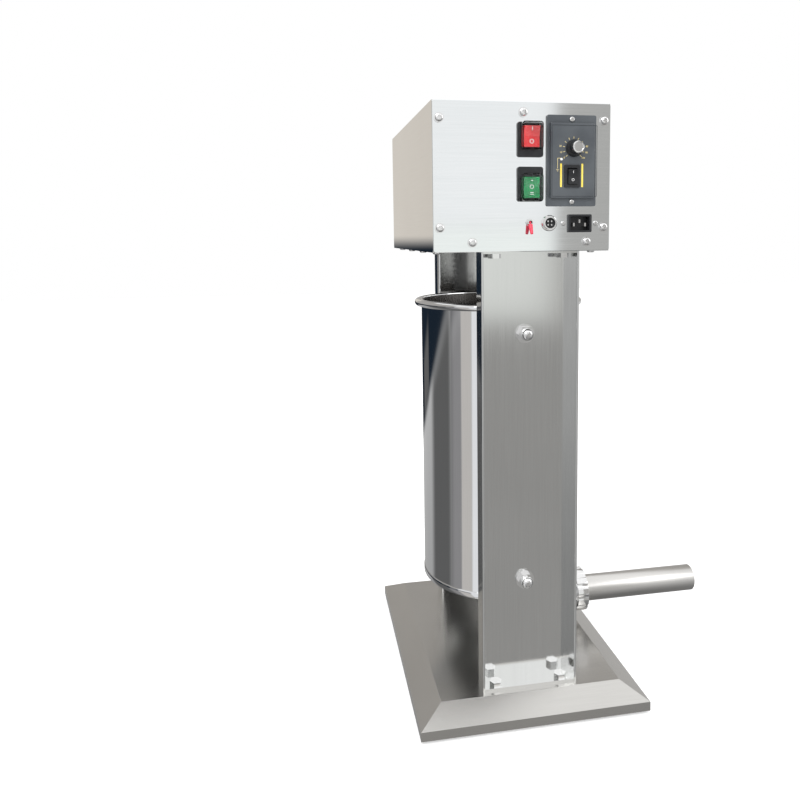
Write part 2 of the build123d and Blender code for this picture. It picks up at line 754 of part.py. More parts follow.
# Mains inlet, held from behind the panel, and the contact pins of both connectors
inlet_face = panel_face - 3.0
inlet_recess = 12.0
inlet_pins = [(inlet_x - 7.0, inlet_z - 1.5), (inlet_x, inlet_z + 2.5), (inlet_x + 7.0, inlet_z - 1.5)]
with BuildPart() as power_inlet:
    block_y((inlet_x, inlet_z), *inlet_body, inlet_face, panel_back + 20.0, 1.5)
    block_y((inlet_x, inlet_z), inlet_pitch + 10.0, inlet_body[1], panel_back, panel_back + 3.0, 2.0)
    with BuildSketch(facing(inlet_face + inlet_recess)):
        with Locations((inlet_x, inlet_z)):
            Rectangle(24.0, 16.4)
        chamfer([v for v in vertices() if v.Z > inlet_z], 4.5)
    extrude(amount=inlet_recess, mode=Mode.SUBTRACT)
    bar_y(inlet_screws, small_screw, panel_back, panel_back + 3.0, Mode.SUBTRACT)
save(power_inlet, "power_inlet")

with BuildPart() as connector_pins:
    with BuildSketch(facing(inlet_face + inlet_recess)):
        with Locations(*inlet_pins):
            Rectangle(2.0, 4.0)
    extrude(amount=inlet_recess - 2.0)
    bar_y(socket_pins, 0.9, panel_face - 3.5, panel_face + 13.0)
save(connector_pins, "connector_pins")

# Miniature toggle switch below the rockers, its lever pointing down
toggle_pivot_y = panel_face - 3.0
with BuildPart() as toggle_bushing:
    bar_y([(toggle_x, toggle_z)], toggle_thread, panel_face - 5.0, panel_back)
    with BuildSketch(facing(panel_face)):
        with Locations((toggle_x, toggle_z)):
            RegularPolygon(4.0, 6, major_radius=False)
    extrude(amount=2.0)
    block_y((toggle_x, toggle_z), 8.0, 12.0, panel_back, panel_back + 11.0)
    bar_y([(toggle_x, toggle_z)], 2.2, panel_face - 5.0, panel_face + 1.0, Mode.SUBTRACT)
    with BuildSketch(facing(panel_face - 2.5)):
        with Locations((toggle_x, toggle_z - 2.0)):
            Rectangle(4.4, 4.0)
    extrude(amount=2.5, mode=Mode.SUBTRACT)
save(toggle_bushing, "toggle_bushing")

toggle_drop = 62.0
lever_axis = Plane(
    origin=(toggle_x, toggle_pivot_y, toggle_z),
    x_dir=(1, 0, 0),
    z_dir=(0, -cos(radians(toggle_drop)), -sin(radians(toggle_drop))),
)
with BuildPart() as toggle_lever:
    with BuildSketch(lever_axis):
        Circle(0.9)
    extrude(amount=6.0)
    with BuildSketch(lever_axis.offset(3.5)):
        Circle(2.6)
    with BuildSketch(lever_axis.offset(15.0)):
        Circle(1.7)
    loft()
    with Locations(lever_axis):
        Sphere(1.5)
save(toggle_lever, "toggle_lever")

# Barrel: drawn wall with a rolled rim and the two pivot bosses
rim_centre = wall_outer + rim_roll - 0.5
boss_radius = 13.0
boss_reach = web_inner - 0.3
with BuildPart() as barrel_core:
    bar_z([(0, 0)], barrel_bore + 1.0, pivot_z - 30.0, guide_z + 30.0)

with BuildPart() as barrel:
    bar_y([(0, pivot_z)], boss_radius, -boss_reach, boss_reach)
    add(barrel_core.part, mode=Mode.SUBTRACT)
    with BuildSketch(Plane.XZ):
        with BuildLine():
            Polyline(
                (barrel_bore, barrel_bottom_z + barrel_wall),
                (barrel_bore, barrel_rim_z - rim_roll),
                (wall_outer, barrel_rim_z - rim_roll),
                (wall_outer, barrel_bottom_z + barrel_wall),
                close=True,
            )
        make_face()
        with Locations((rim_centre, barrel_rim_z - rim_roll)):
            Circle(rim_roll)
        with Locations((barrel_bore + barrel_wall, barrel_rim_z - rim_roll + 1.5)):
            Rectangle(4.0, 3.0)
    revolve(axis=Axis.Z)
    for side in (-1, 1):
        hole_mid = side * (boss_reach - 5.0)
        bar_y([(0, pivot_z)], barrel_bolt_radius, hole_mid - 5.0, hole_mid + 5.0, Mode.SUBTRACT)
save(barrel, "barrel")

# Barrel bottom: a shallow cup welded over the wall, with the outlet's hole
skirt_radius = wall_outer + 1.0
skirt_top = barrel_bottom_z + 9.0
with BuildPart() as barrel_bottom:
    bar_z([(0, 0)], skirt_radius, barrel_bottom_z, skirt_top)
    fillet(barrel_bottom.edges().sort_by(Axis.Z)[0], 1.5)
    bar_z([(0, 0)], wall_outer, barrel_bottom_z + barrel_wall, skirt_top, Mode.SUBTRACT)
    bar_z([(outlet_x, 0)], outlet_bore, barrel_bottom_z, skirt_top, Mode.SUBTRACT)
save(barrel_bottom, "barrel_bottom")

# Outlet elbow from the barrel's bottom to the threaded spigot
bend_radius = barrel_bottom_z - 6.0 - outlet_z
outlet_pipe = outlet_bore + outlet_wall
with BuildPart() as outlet_elbow:
    with BuildLine():
        FilletPolyline(
            (outlet_x, 0, barrel_bottom_z),
            (outlet_x, 0, outlet_z),
            (outlet_end - 18.0, 0, outlet_z),
            radius=bend_radius,
        )
    with BuildSketch(Plane.XY.offset(barrel_bottom_z)):
        with Locations((outlet_x, 0)):
            Circle(outlet_pipe)
            Circle(outlet_bore, mode=Mode.SUBTRACT)
    sweep()
    with BuildSketch(Plane.YZ.offset(outlet_end - 18.0)):
        with Locations((0, outlet_z)):
            Circle(thread_radius)
            Circle(outlet_bore, mode=Mode.SUBTRACT)
    extrude(amount=18.0)
    with BuildSketch(Plane.YZ.offset(outlet_end - 22.0)):
        with Locations((0, outlet_z)):
            Circle(thread_radius + 3.0)
            Circle(outlet_bore + 1.0, mode=Mode.SUBTRACT)
    extrude(amount=4.0)
save(outlet_elbow, "outlet_elbow")

# Bolts through the columns: pivots low down, guides with nylon pads near the rim
bolt_end = web_outer + 13.0
head_inner = wall_outer + 2.5
with BuildPart() as barrel_bolts:
    for side in (-1, 1):
        y_ends = sorted((side * (boss_reach - 10.0), side * bolt_end))
        bar_y([(0, pivot_z)], barrel_bolt_radius, *y_ends)
        y_ends = sorted((side * head_inner, side * bolt_end))
        bar_y([(0, guide_z)], barrel_bolt_radius, *y_ends)
        y_ends = sorted((side * head_inner, side * (head_inner + 4.0)))
        bar_y([(0, guide_z)], 8.5, *y_ends)
save(barrel_bolts, "barrel_bolts")

with BuildPart() as pad_clearance:
    bar_z([(0, 0)], wall_outer + 0.3, guide_z - 20.0, guide_z + 20.0)

with BuildPart() as guide_pads:
    bar_y([(0, guide_z)], 14.0, -web_inner, web_inner)
    add(pad_clearance.part, mode=Mode.SUBTRACT)
    bar_y([(0, guide_z)], barrel_bolt_radius, -web_inner, web_inner, Mode.SUBTRACT)
    bar_y([(0, guide_z)], 8.5, -head_inner - 4.0, head_inner + 4.0, Mode.SUBTRACT)
save(guide_pads, "guide_pads")

# Washers and domed nuts on the outside of the columns
bolt_washer = 2.0
bolt_washer_radius = 12.0
hex_depth = 7.0
dome_height = 8.5
dome_radius = 8.0
nut_places = [(0, pivot_z), (0, guide_z)]
with BuildPart() as bolt_washers:
    for side in (-1, 1):
        y_ends = sorted((side * web_outer, side * (web_outer + bolt_washer)))
        bar_y(nut_places, bolt_washer_radius, *y_ends)
    bar_y(nut_places, barrel_bolt_radius, -column_reach, column_reach, Mode.SUBTRACT)
save(bolt_washers, "bolt_washers")

nut_seat = web_outer + bolt_washer
with BuildPart() as domed_nuts:
    for side in (-1, 1):
        for x, z in nut_places:
            seat = Plane(origin=(x, side * nut_seat, z), x_dir=(1, 0, 0), z_dir=(0, side, 0))
            with BuildSketch(seat):
                RegularPolygon(9.0, 6, major_radius=False)
            extrude(amount=hex_depth)
            with BuildSketch(seat.offset(hex_depth)):
                Circle(dome_radius)
            extrude(amount=dome_height, taper=3)
            dome_edge = domed_nuts.edges().filter_by(GeomType.CIRCLE).sort_by_distance(
                seat.offset(hex_depth + dome_height).origin
            )[0]
            fillet(dome_edge, 6.0)
    for side in (-1, 1):
        y_ends = sorted((side * nut_seat, side * bolt_end))
        bar_y(nut_places, barrel_bolt_radius, *y_ends, Mode.SUBTRACT)
save(domed_nuts, "domed_nuts")

# Rack: toothed on its -X face, with a turned end through the piston
tooth_pitch = pi * rack_module
rack_addendum = 2.4
rack_dedendum = 3.3
teeth_below = 44
teeth_above = 5
spigot_radius = 8.0


def rack_tooth(z):
    """Four corners of one tooth, from its lower root to its upper root."""
    half = tooth_pitch / 4 - backlash / 4
    root = half + rack_dedendum * tan(pressure)
    tip = half - rack_addendum * tan(pressure)
    root_x = rack_pitch_x + rack_dedendum
    tip_x = rack_pitch_x - rack_addendum
    return [(root_x, z - root), (tip_x, z - tip), (tip_x, z + tip), (root_x, z + root)]


tooth_corners = []
for k in range(-teeth_below, teeth_above):
    tooth_corners += rack_tooth(main_z + (k + 0.5) * tooth_pitch)

with BuildPart() as rack:
    with BuildSketch(facing(rack_half)):
        with BuildLine():
            Polyline(
                (-rack_half + 0.6, rack_bottom),
                (-rack_half + 0.6, tooth_corners[0][1] - 6.0),
                (tooth_corners[0][0], tooth_corners[0][1] - 3.0),
                *tooth_corners,
                (tooth_corners[-1][0], rack_top),
                (rack_half, rack_top),
                (rack_half, rack_bottom),
                close=True,
            )
        make_face()
    extrude(amount=2 * rack_half)
    bar_z([(0, 0)], spigot_radius, piston_bottom + 2.0, rack_bottom)
save(rack, "rack")

# Piston: two plates with the seal between them, on the rack's turned end
seal_low = piston_bottom + lower_plate
seal_high = seal_low + seal_height
valve_place = (-58.0, 30.0)
valve_hole = 5.0
nut_pocket = 15.0
nut_pocket_depth = 8.0
with BuildPart() as piston_plates:
    bar_z([(0, 0)], plate_radius, piston_bottom, seal_low)
    chamfer(piston_plates.edges().sort_by(Axis.Z)[0], 2.0)
    bar_z([(0, 0)], plate_radius, seal_high, rack_bottom)
    chamfer(piston_plates.edges().sort_by(Axis.Z)[-1], 2.0)
    bar_z([(0, 0)], spigot_radius, piston_bottom, rack_bottom, Mode.SUBTRACT)
    bar_z([(0, 0)], nut_pocket, piston_bottom, piston_bottom + nut_pocket_depth, Mode.SUBTRACT)
    bar_z([valve_place], valve_hole, piston_bottom, rack_bottom, Mode.SUBTRACT)
save(piston_plates, "piston_plates")

with BuildPart() as piston_seal:
    bar_z([(0, 0)], seal_radius, seal_low, seal_high)
    fillet(piston_seal.edges().filter_by(GeomType.CIRCLE), 1.0)
    bar_z([(0, 0)], spigot_radius, seal_low, seal_high, Mode.SUBTRACT)
    bar_z([valve_place], valve_hole, seal_low, seal_high, Mode.SUBTRACT)
save(piston_seal, "piston_seal")

with BuildPart() as piston_nut:
    hex_z([(0, 0)], 24.0, piston_bottom + 2.0, piston_bottom + nut_pocket_depth)
    bar_z([(0, 0)], spigot_radius, piston_bottom, piston_bottom + nut_pocket_depth, Mode.SUBTRACT)
save(piston_nut, "piston_nut")

# Air valve, which lets the piston be lifted out of the meat
with BuildPart() as air_valve:
    bar_z([valve_place], valve_hole, piston_bottom + 1.0, rack_bottom)
    hex_z([valve_place], 15.0, rack_bottom, rack_bottom + 6.0)
    bar_z([valve_place], 6.0, rack_bottom + 6.0, rack_bottom + 11.0)
    fillet(air_valve.edges().sort_by(Axis.Z)[-1], 2.0)
save(air_valve, "air_valve")


# Gears
def tooth_half_angle(radius, pitch_radius, module):
    """Half of a tooth's angle at a radius: involute above the base circle, radial below."""
    base = pitch_radius * cos(pressure)
    at_pitch = (pi * module / 2 - backlash / 2) / (2 * pitch_radius)
    turn = acos(min(1.0, base / radius))
    return at_pitch + (tan(pressure) - pressure) - (tan(turn) - turn)


def gear_corners(module, teeth, addendum, dedendum, first_angle):
    """Outline of a gear about the origin, its first tooth centred at an angle."""
    pitch_radius = module * teeth / 2
    base = pitch_radius * cos(pressure)
    root = pitch_radius - dedendum
    flank = [root, max(root + 0.2, base), pitch_radius, pitch_radius + addendum]
    outline = []
    for k in range(teeth):
        middle = first_angle + 2 * pi * k / teeth
        turns = [(r, -tooth_half_angle(r, pitch_radius, module)) for r in flank]
        turns += [(r, -turn) for r, turn in reversed(turns)]
        outline += [(r * cos(middle + turn), r * sin(middle + turn)) for r, turn in turns]
    return outline


def build_gear(centre, corner_list, bore, y_low, y_high, hub_radius=0.0, hub_high=0.0):
    """A spur gear along Y with its bore and, where asked, a hub."""
    plane = Plane(origin=(centre[0], y_high, centre[1]), x_dir=(1, 0, 0), z_dir=(0, -1, 0))
    with BuildPart() as gear:
        with BuildSketch(plane):
            with BuildLine():
                Polyline(*corner_list, close=True)
            make_face()
        extrude(amount=y_high - y_low)
        if hub_radius:
            bar_y([centre], hub_radius, y_high, hub_high)
        bar_y([centre], bore, y_low, max(y_high, hub_high), Mode.SUBTRACT)
    return gear


main_centre = (main_x, main_z)
motor_centre = (motor_x, motor_shaft_z)
rack_pinion_outline = gear_corners(rack_module, rack_pinion_teeth, 2.7, 3.6, 0.0)
main_gear_outline = gear_corners(drive_module, main_gear_teeth, 1.8, 2.6, mesh_angle)
motor_gap = mesh_angle + pi + pi / motor_pinion_teeth
motor_pinion_outline = gear_corners(drive_module, motor_pinion_teeth, 2.0, 2.6, motor_gap)
save(build_gear(main_centre, rack_pinion_outline, main_shaft_radius, -11.0, 11.0), "rack_pinion")
save(build_gear(main_centre, main_gear_outline, main_shaft_radius, 30.0, 42.0, 17.0, 54.0), "main_gear")
save(build_gear(motor_centre, motor_pinion_outline, motor_shaft_radius, 28.0, 44.0), "motor_pinion")

with BuildPart() as main_shaft:
    bar_y([main_centre], main_shaft_radius, plate_front_y - 8.0, plate_rear_y + 14.0)
    chamfer(main_shaft.edges().filter_by(GeomType.CIRCLE), 1.0)
save(main_shaft, "main_shaft")

with BuildPart() as motor_shaft:
    bar_y([motor_centre], motor_shaft_radius, motor_front + 8.5, 48.0)
    chamfer(motor_shaft.edges().sort_by(Axis.Y)[-1], 0.8)
save(motor_shaft, "motor_shaft")

# Nozzle with its flange, the gasket behind it and the scalloped ring nut
gasket_end = outlet_end + 2.0
flange_end = gasket_end + 3.5
nozzle_bore = nozzle_radius - nozzle_wall
with BuildPart() as nozzle_gasket:
    bar_x(thread_radius - 1.5, outlet_end, gasket_end)
    bar_x(outlet_bore - 1.0, outlet_end, gasket_end, Mode.SUBTRACT)
save(nozzle_gasket, "nozzle_gasket")

with BuildPart() as nozzle:
    bar_x(thread_radius - 1.0, gasket_end, flange_end)
    bar_x(nozzle_shoulder, flange_end, shoulder_end)
    bar_x(nozzle_radius, shoulder_end, nozzle_end)
    bar_x(nozzle_bore, gasket_end, nozzle_end, Mode.SUBTRACT)
save(nozzle, "nozzle")

nut_scallops = 12
scallop_radius = 6.0
with BuildPart() as ring_nut:
    with BuildSketch(Plane.YZ.offset(nut_start)):
        with Locations((0, outlet_z)):
            Circle(nut_radius)
            with PolarLocations(nut_radius + 3.6, nut_scallops):
                Circle(scallop_radius, mode=Mode.SUBTRACT)
    extrude(amount=nut_end - nut_start)
    bar_x(thread_radius + running_gap, nut_start, flange_end, Mode.SUBTRACT)
    bar_x(nozzle_shoulder + running_gap, flange_end, nut_end, Mode.SUBTRACT)
save(ring_nut, "ring_nut")

main_ratio = 1000 / rack_pinion_pitch
print("main gear axis z", round(main_z, 3), "x", round(main_x, 3))
print("main shaft, radians per metre of the rack", round(main_ratio, 4))
print("motor shaft, radians per metre", round(main_ratio * main_gear_teeth / motor_pinion_teeth, 4))
print("mesh direction, degrees", round(degrees(mesh_angle), 2))
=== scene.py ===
# %% [markdown]
# # A vertical sausage stuffer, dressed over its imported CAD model
# The metal frame, the gears and every moving part come from the CAD. This lesson gives them
# their finishes, and models by hand the pieces whose roundness, edges or fine detail a viewer
# looks at: the polished barrel, the nozzle and its nut, the knob, the screws and the dial.

# %% Load the frame
import math

import bpy
from mathutils import Matrix, Vector
from mathutils.bvhtree import BVHTree


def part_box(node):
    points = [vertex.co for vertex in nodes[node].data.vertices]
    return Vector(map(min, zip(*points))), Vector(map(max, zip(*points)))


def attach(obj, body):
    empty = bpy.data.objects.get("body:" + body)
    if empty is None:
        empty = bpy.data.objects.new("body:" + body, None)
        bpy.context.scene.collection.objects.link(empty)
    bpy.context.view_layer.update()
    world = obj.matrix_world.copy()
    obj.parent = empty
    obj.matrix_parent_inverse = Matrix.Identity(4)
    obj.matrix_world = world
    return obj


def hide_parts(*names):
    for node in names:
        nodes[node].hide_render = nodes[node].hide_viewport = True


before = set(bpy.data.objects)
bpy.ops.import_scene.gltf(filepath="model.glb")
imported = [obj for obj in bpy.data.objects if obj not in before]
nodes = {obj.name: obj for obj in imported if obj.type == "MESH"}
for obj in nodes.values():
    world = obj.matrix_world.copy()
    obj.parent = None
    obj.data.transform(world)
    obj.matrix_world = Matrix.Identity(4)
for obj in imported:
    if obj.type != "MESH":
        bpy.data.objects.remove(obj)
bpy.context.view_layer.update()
MM = 0.001

# %% [markdown]
# ## Camera
# The camera stands a little left of the control panel and just below the top of the gear
# housing. Its place, turn and focal length were solved from the corners of the housing and
# the base. The optical centre lies off the middle of the picture, which the shift gives.

# %% Camera
CAMERA_PLACE = Vector((-275.2, -1052.65, 611.07)) * MM
CAMERA_YAW = math.radians(-11.284)
CAMERA_PITCH = math.radians(-6.0)
CAMERA_ROLL = math.radians(-0.519)
PICTURE = 800
FOCAL_PIXELS = 767.2
OPTICAL_CENTRE = (452.73, 314.80)

ahead = Vector((
    -math.sin(CAMERA_YAW) * math.cos(CAMERA_PITCH),
    math.cos(CAMERA_YAW) * math.cos(CAMERA_PITCH),
    math.sin(CAMERA_PITCH),
))
level = Vector((math.cos(CAMERA_YAW), math.sin(CAMERA_YAW), 0))
upward = level.cross(ahead)
right = level * math.cos(CAMERA_ROLL) + upward * math.sin(CAMERA_ROLL)
top = upward * math.cos(CAMERA_ROLL) - level * math.sin(CAMERA_ROLL)

lens = bpy.data.cameras.new("photo_lens")
lens.sensor_width = 36.0
lens.lens = FOCAL_PIXELS / PICTURE * lens.sensor_width
lens.shift_x = (PICTURE / 2 - OPTICAL_CENTRE[0]) / PICTURE
lens.shift_y = (OPTICAL_CENTRE[1] - PICTURE / 2) / PICTURE
lens.clip_start = 0.05
lens.clip_end = 50.0
camera = bpy.data.objects.new("photo_camera", lens)
bpy.context.scene.collection.objects.link(camera)
turn = Matrix((right, top, -ahead)).transposed().to_4x4()
camera.matrix_world = Matrix.Translation(CAMERA_PLACE) @ turn
bpy.context.scene.camera = camera
bpy.context.scene.view_settings.view_transform = "Standard"
print("focal length", round(lens.lens, 2), "mm")

# %% [markdown]
# ## Studio
# Polished steel has no colour of its own: it shows the room. So the room is a white tent with
# a grey floor and a few soft-edged features: a wall, a window, a dark doorway. The camera
# itself sees plain white. The sheet under the machine takes only a soft shadow.

# %% Room light
world = bpy.data.worlds.new("white_tent")
bpy.context.scene.world = world
world.use_nodes = True
tent = world.node_tree
tent.nodes.clear()


def ramp_node(tree, stops):
    """A colour ramp with the given (place, grey or colour) stops."""
    ramp = tree.nodes.new("ShaderNodeValToRGB")
    ramp.color_ramp.interpolation = "LINEAR"
    while len(ramp.color_ramp.elements) < len(stops):
        ramp.color_ramp.elements.new(0.5)
    for element, (place, colour) in zip(ramp.color_ramp.elements, stops):
        element.position = place
        shade = (colour, colour, colour) if isinstance(colour, float) else colour
        element.color = (*shade, 1.0)
    return ramp


def math_node(tree, operation, first, second=None):
    """A math node whose inputs are sockets or numbers."""
    node = tree.nodes.new("ShaderNodeMath")
    node.operation = operation
    for socket, value in zip(node.inputs, (first, second)):
        if isinstance(value, (int, float)):
            socket.default_value = value
        elif value is not None:
            tree.links.new(value, socket)
    return node.outputs[0]


direction = tent.nodes.new("ShaderNodeTexCoord").outputs["Generated"]
split = tent.nodes.new("ShaderNodeSeparateXYZ")
tent.links.new(direction, split.inputs[0])
bearing = math_node(tent, "ARCTAN2", split.outputs[0], split.outputs[1])
around = math_node(tent, "ADD", math_node(tent, "DIVIDE", bearing, 2 * math.pi), 0.5)
tilt = math_node(tent, "ARCSINE", split.outputs[2])
elevation = math_node(tent, "MULTIPLY", tilt, 180 / math.pi)


def soft_step(tree, value, start, end):
    """Rises smoothly from 0 to 1 between two values."""
    step = tree.nodes.new("ShaderNodeMapRange")
    step.interpolation_type = "SMOOTHSTEP"
    step.inputs["From Min"].default_value = start
    step.inputs["From Max"].default_value = end
    tree.links.new(value, step.inputs["Value"])
    return step.outputs[0]


def soft_band(tree, value, low, high, edge):
    """Is 1 between low and high and fades over an edge on both sides."""
    rise = soft_step(tree, value, low - edge / 2, low + edge / 2)
    fall = soft_step(tree, value, high - edge / 2, high + edge / 2)
    return math_node(tree, "MULTIPLY", rise, math_node(tree, "SUBTRACT", 1.0, fall))


# Grey by height: the floor below the horizon, then pale walls, then the bright ceiling
grey_by_height = ramp_node(tent, [
    (0.000, 0.14), (0.120, 0.22), (0.290, 0.42), (0.480, 0.74),
    (0.497, 0.80), (0.512, 0.95), (0.800, 0.95), (0.885, 1.15),
])
height = math_node(tent, "ADD", math_node(tent, "MULTIPLY", split.outputs[2], 0.5), 0.5)
tent.links.new(height, grey_by_height.inputs[0])
room_colour = grey_by_height.outputs[0]

# Bearing 0.5 is straight behind the machine (+Y), 0.25 its left (-X), 0 and 1 the camera side.
# Each feature: bearings and their edge, elevations in degrees and their edge, colour.
ROOM_FEATURES = {
    "left_wall": (0.210, 0.690, 0.020, -1.0, 40.0, 6.0, (0.45, 0.435, 0.415)),
    "pale_wall": (0.456, 0.505, 0.012, -0.6, 20.0, 1.2, (0.74, 0.70, 0.64)),
    "window": (0.100, 0.152, 0.010, -70.0, 24.0, 5.0, (0.90, 0.91, 0.93)),
    "grey_door": (0.150, 0.208, 0.008, -11.0, 0.0, 1.2, (0.38, 0.38, 0.385)),
    "curtain": (0.208, 0.250, 0.006, -17.0, -0.6, 1.2, (0.19, 0.19, 0.20)),
    "low_beige": (0.152, 0.200, 0.008, -70.0, -11.0, 2.0, (0.60, 0.575, 0.55)),
    "low_curtain": (0.200, 0.250, 0.008, -70.0, -17.0, 3.0, (0.30, 0.295, 0.30)),
    "low_dark": (0.250, 0.370, 0.040, -70.0, -15.5, 3.0, (0.13, 0.13, 0.13)),
    "curtain_line": (0.206, 0.216, 0.004, -9.0, -1.0, 0.8, (0.05, 0.06, 0.09)),
    "doorway": (0.246, 0.520, 0.006, -15.5, -0.6, 1.2, (0.012, 0.020, 0.032)),
    "doorstep": (0.400, 0.462, 0.014, -15.5, -11.5, 2.0, (0.13, 0.13, 0.13)),
    "lit_shelf": (0.262, 0.290, 0.006, -10.5, -4.0, 1.0, (0.14, 0.14, 0.135)),
    "pale_patch": (0.318, 0.358, 0.012, -9.0, -5.0, 1.5, (0.09, 0.09, 0.10)),
    "front_wall": (0.900, 0.9472, 0.003, -8.0, 25.0, 3.0, (0.45, 0.44, 0.425)),
    "front_step": (0.948, 0.996, 0.004, -6.6, 0.5, 1.4, (0.95, 0.97, 0.94)),
    "front_floor": (0.930, 0.996, 0.008, -70.0, -6.6, 1.4, (0.38, 0.375, 0.365)),
    "front_lamp": (0.900, 0.990, 0.020, 26.0, 42.0, 8.0, (1.6, 1.6, 1.6)),
}
for west, east, side_edge, low, high, level_edge, colour in ROOM_FEATURES.values():
    across = soft_band(tent, around, west, east, side_edge)
    up = soft_band(tent, elevation, low, high, level_edge)
    over = tent.nodes.new("ShaderNodeMix")
    over.data_type = "RGBA"
    tent.links.new(math_node(tent, "MULTIPLY", across, up), over.inputs[0])
    tent.links.new(room_colour, over.inputs[6])
    over.inputs[7].default_value = (*colour, 1.0)
    room_colour = over.outputs[2]

seen = tent.nodes.new("ShaderNodeBackground")
seen.inputs["Color"].default_value = (1.0, 1.0, 1.0, 1.0)
seen.inputs["Strength"].default_value = 1.0
lit = tent.nodes.new("ShaderNodeBackground")
lit.inputs["Strength"].default_value = 1.0
tent.links.new(room_colour, lit.inputs["Color"])
path = tent.nodes.new("ShaderNodeLightPath")
chooser = tent.nodes.new("ShaderNodeMixShader")
tent.links.new(path.outputs["Is Camera Ray"], chooser.inputs[0])
tent.links.new(lit.outputs[0], chooser.inputs[1])
tent.links.new(seen.outputs[0], chooser.inputs[2])
tent_output = tent.nodes.new("ShaderNodeOutputWorld")
tent.links.new(chooser.outputs[0], tent_output.inputs[0])
print("room features", len(ROOM_FEATURES))

# %% Lamps


def soft_lamp(name, place, aim, width, watts):
    """A square soft box that points at a place on the machine."""
    lamp = bpy.data.lights.new(name, "AREA")
    lamp.size = width
    lamp.energy = watts
    holder = bpy.data.objects.new(name, lamp)
    bpy.context.scene.collection.objects.link(holder)
    holder.location = place
    holder.rotation_euler = (Vector(aim) - Vector(place)).to_track_quat("-Z", "Y").to_euler()
    return holder


soft_lamp("key_light", (-1.1, -1.9, 2.3), (0, 0, 0.4), 1.6, 30.0)
soft_lamp("fill_light", (1.9, -1.2, 1.3), (0, 0, 0.4), 1.4, 8.0)
back_light = soft_lamp("back_light", (0.4, 2.0, 2.0), (0, 0, 0.4), 1.6, 14.0)
back_light.visible_glossy = False
print("lamps placed")

# %% [markdown]
# ## Finishes
# Sheet steel is brushed: long fine scratches in one direction, which spread the highlight
# across them. Each steel here is the same recipe with its own grain direction, a little
# cloudiness from handling, and a roughness between satin and mirror.

# %% Node helpers
finishes = {}


def new_finish(name):
    """An empty material with its shader and the object's own coordinates."""
    finish = bpy.data.materials.new(name)
    finish.use_nodes = True
    tree = finish.node_tree
    shader = tree.nodes["Principled BSDF"]
    place = tree.nodes.new("ShaderNodeTexCoord").outputs["Object"]
    finishes[name] = finish
    return tree, shader, place


def noise_node(tree, place, scale, detail=3.0, stretch=(1.0, 1.0, 1.0)):
    """Noise over the object's coordinates, stretched along the axes."""
    mapping = tree.nodes.new("ShaderNodeMapping")
    mapping.inputs["Scale"].default_value = stretch
    tree.links.new(place, mapping.inputs["Vector"])
    noise = tree.nodes.new("ShaderNodeTexNoise")
    noise.inputs["Scale"].default_value = scale
    noise.inputs["Detail"].default_value = detail
    tree.links.new(mapping.outputs[0], noise.inputs["Vector"])
    return noise.outputs["Fac"]


def range_node(tree, value, low, high):
    """Brings noise from its usual 0.3 to 0.7 into a range."""
    spread = tree.nodes.new("ShaderNodeMapRange")
    spread.inputs["From Min"].default_value = 0.3
    spread.inputs["From Max"].default_value = 0.7
    spread.inputs["To Min"].default_value = low
    spread.inputs["To Max"].default_value = high
    tree.links.new(value, spread.inputs["Value"])
    return spread.outputs[0]


def bump_node(tree, shader, value, strength, distance):
    """Bump from a height value into the shader's normal."""
    bump = tree.nodes.new("ShaderNodeBump")
    bump.inputs["Strength"].default_value = strength
    bump.inputs["Distance"].default_value = distance
    tree.links.new(value, bump.inputs["Height"])
    tree.links.new(bump.outputs[0], shader.inputs["Normal"])


# %% Steels
GRAIN = {"x": (14.0, 900.0, 900.0), "y": (900.0, 14.0, 900.0), "z": (900.0, 900.0, 14.0)}


def steel(name, dark, light, grain, rough, scratch):
    """Brushed or polished sheet: colour between two greys, grain along one axis."""
    tree, shader, place = new_finish(name)
    shader.inputs["Metallic"].default_value = 1.0
    cloud = noise_node(tree, place, 9.0, 3.0)
    streak = noise_node(tree, place, 1.0, 4.0, GRAIN[grain])
    mixed = math_node(
        tree, "ADD", math_node(tree, "MULTIPLY", streak, 0.55), math_node(tree, "MULTIPLY", cloud, 0.45),
    )
    colour = ramp_node(tree, [(0.35, dark), (0.65, light)])
    tree.links.new(mixed, colour.inputs[0])
    tree.links.new(colour.outputs[0], shader.inputs["Base Color"])
    tree.links.new(range_node(tree, mixed, *rough), shader.inputs["Roughness"])
    bump_node(tree, shader, streak, scratch, 0.00008)
    return finishes[name]


steel("column_steel", (0.66, 0.665, 0.66), (0.70, 0.705, 0.70), "z", (0.09, 0.13), 0.05)
steel("base_steel", (0.58, 0.57, 0.55), (0.62, 0.61, 0.59), "x", (0.20, 0.26), 0.06)
steel("cover_steel", (0.62, 0.605, 0.59), (0.66, 0.65, 0.635), "y", (0.02, 0.035), 0.008)
steel("panel_steel", (0.83, 0.86, 0.87), (0.88, 0.905, 0.915), "x", (0.05, 0.08), 0.02)
steel("barrel_steel", (0.75, 0.755, 0.76), (0.79, 0.795, 0.80), "z", (0.045, 0.06), 0.006)
steel("lining_steel", (0.30, 0.285, 0.27), (0.36, 0.345, 0.33), "z", (0.22, 0.30), 0.04)
steel("nozzle_steel", (0.66, 0.65, 0.63), (0.72, 0.71, 0.69), "x", (0.26, 0.33), 0.06)
steel("bright_steel", (0.74, 0.74, 0.74), (0.84, 0.84, 0.84), "z", (0.07, 0.12), 0.03)
steel("machined_steel", (0.30, 0.30, 0.31), (0.44, 0.44, 0.45), "z", (0.28, 0.42), 0.20)
steel("cast_aluminium", (0.50, 0.50, 0.51), (0.62, 0.62, 0.63), "y", (0.38, 0.52), 0.25)
steel("bearing_bronze", (0.55, 0.38, 0.18), (0.70, 0.52, 0.28), "y", (0.25, 0.40), 0.15)
print("steels", len(finishes))

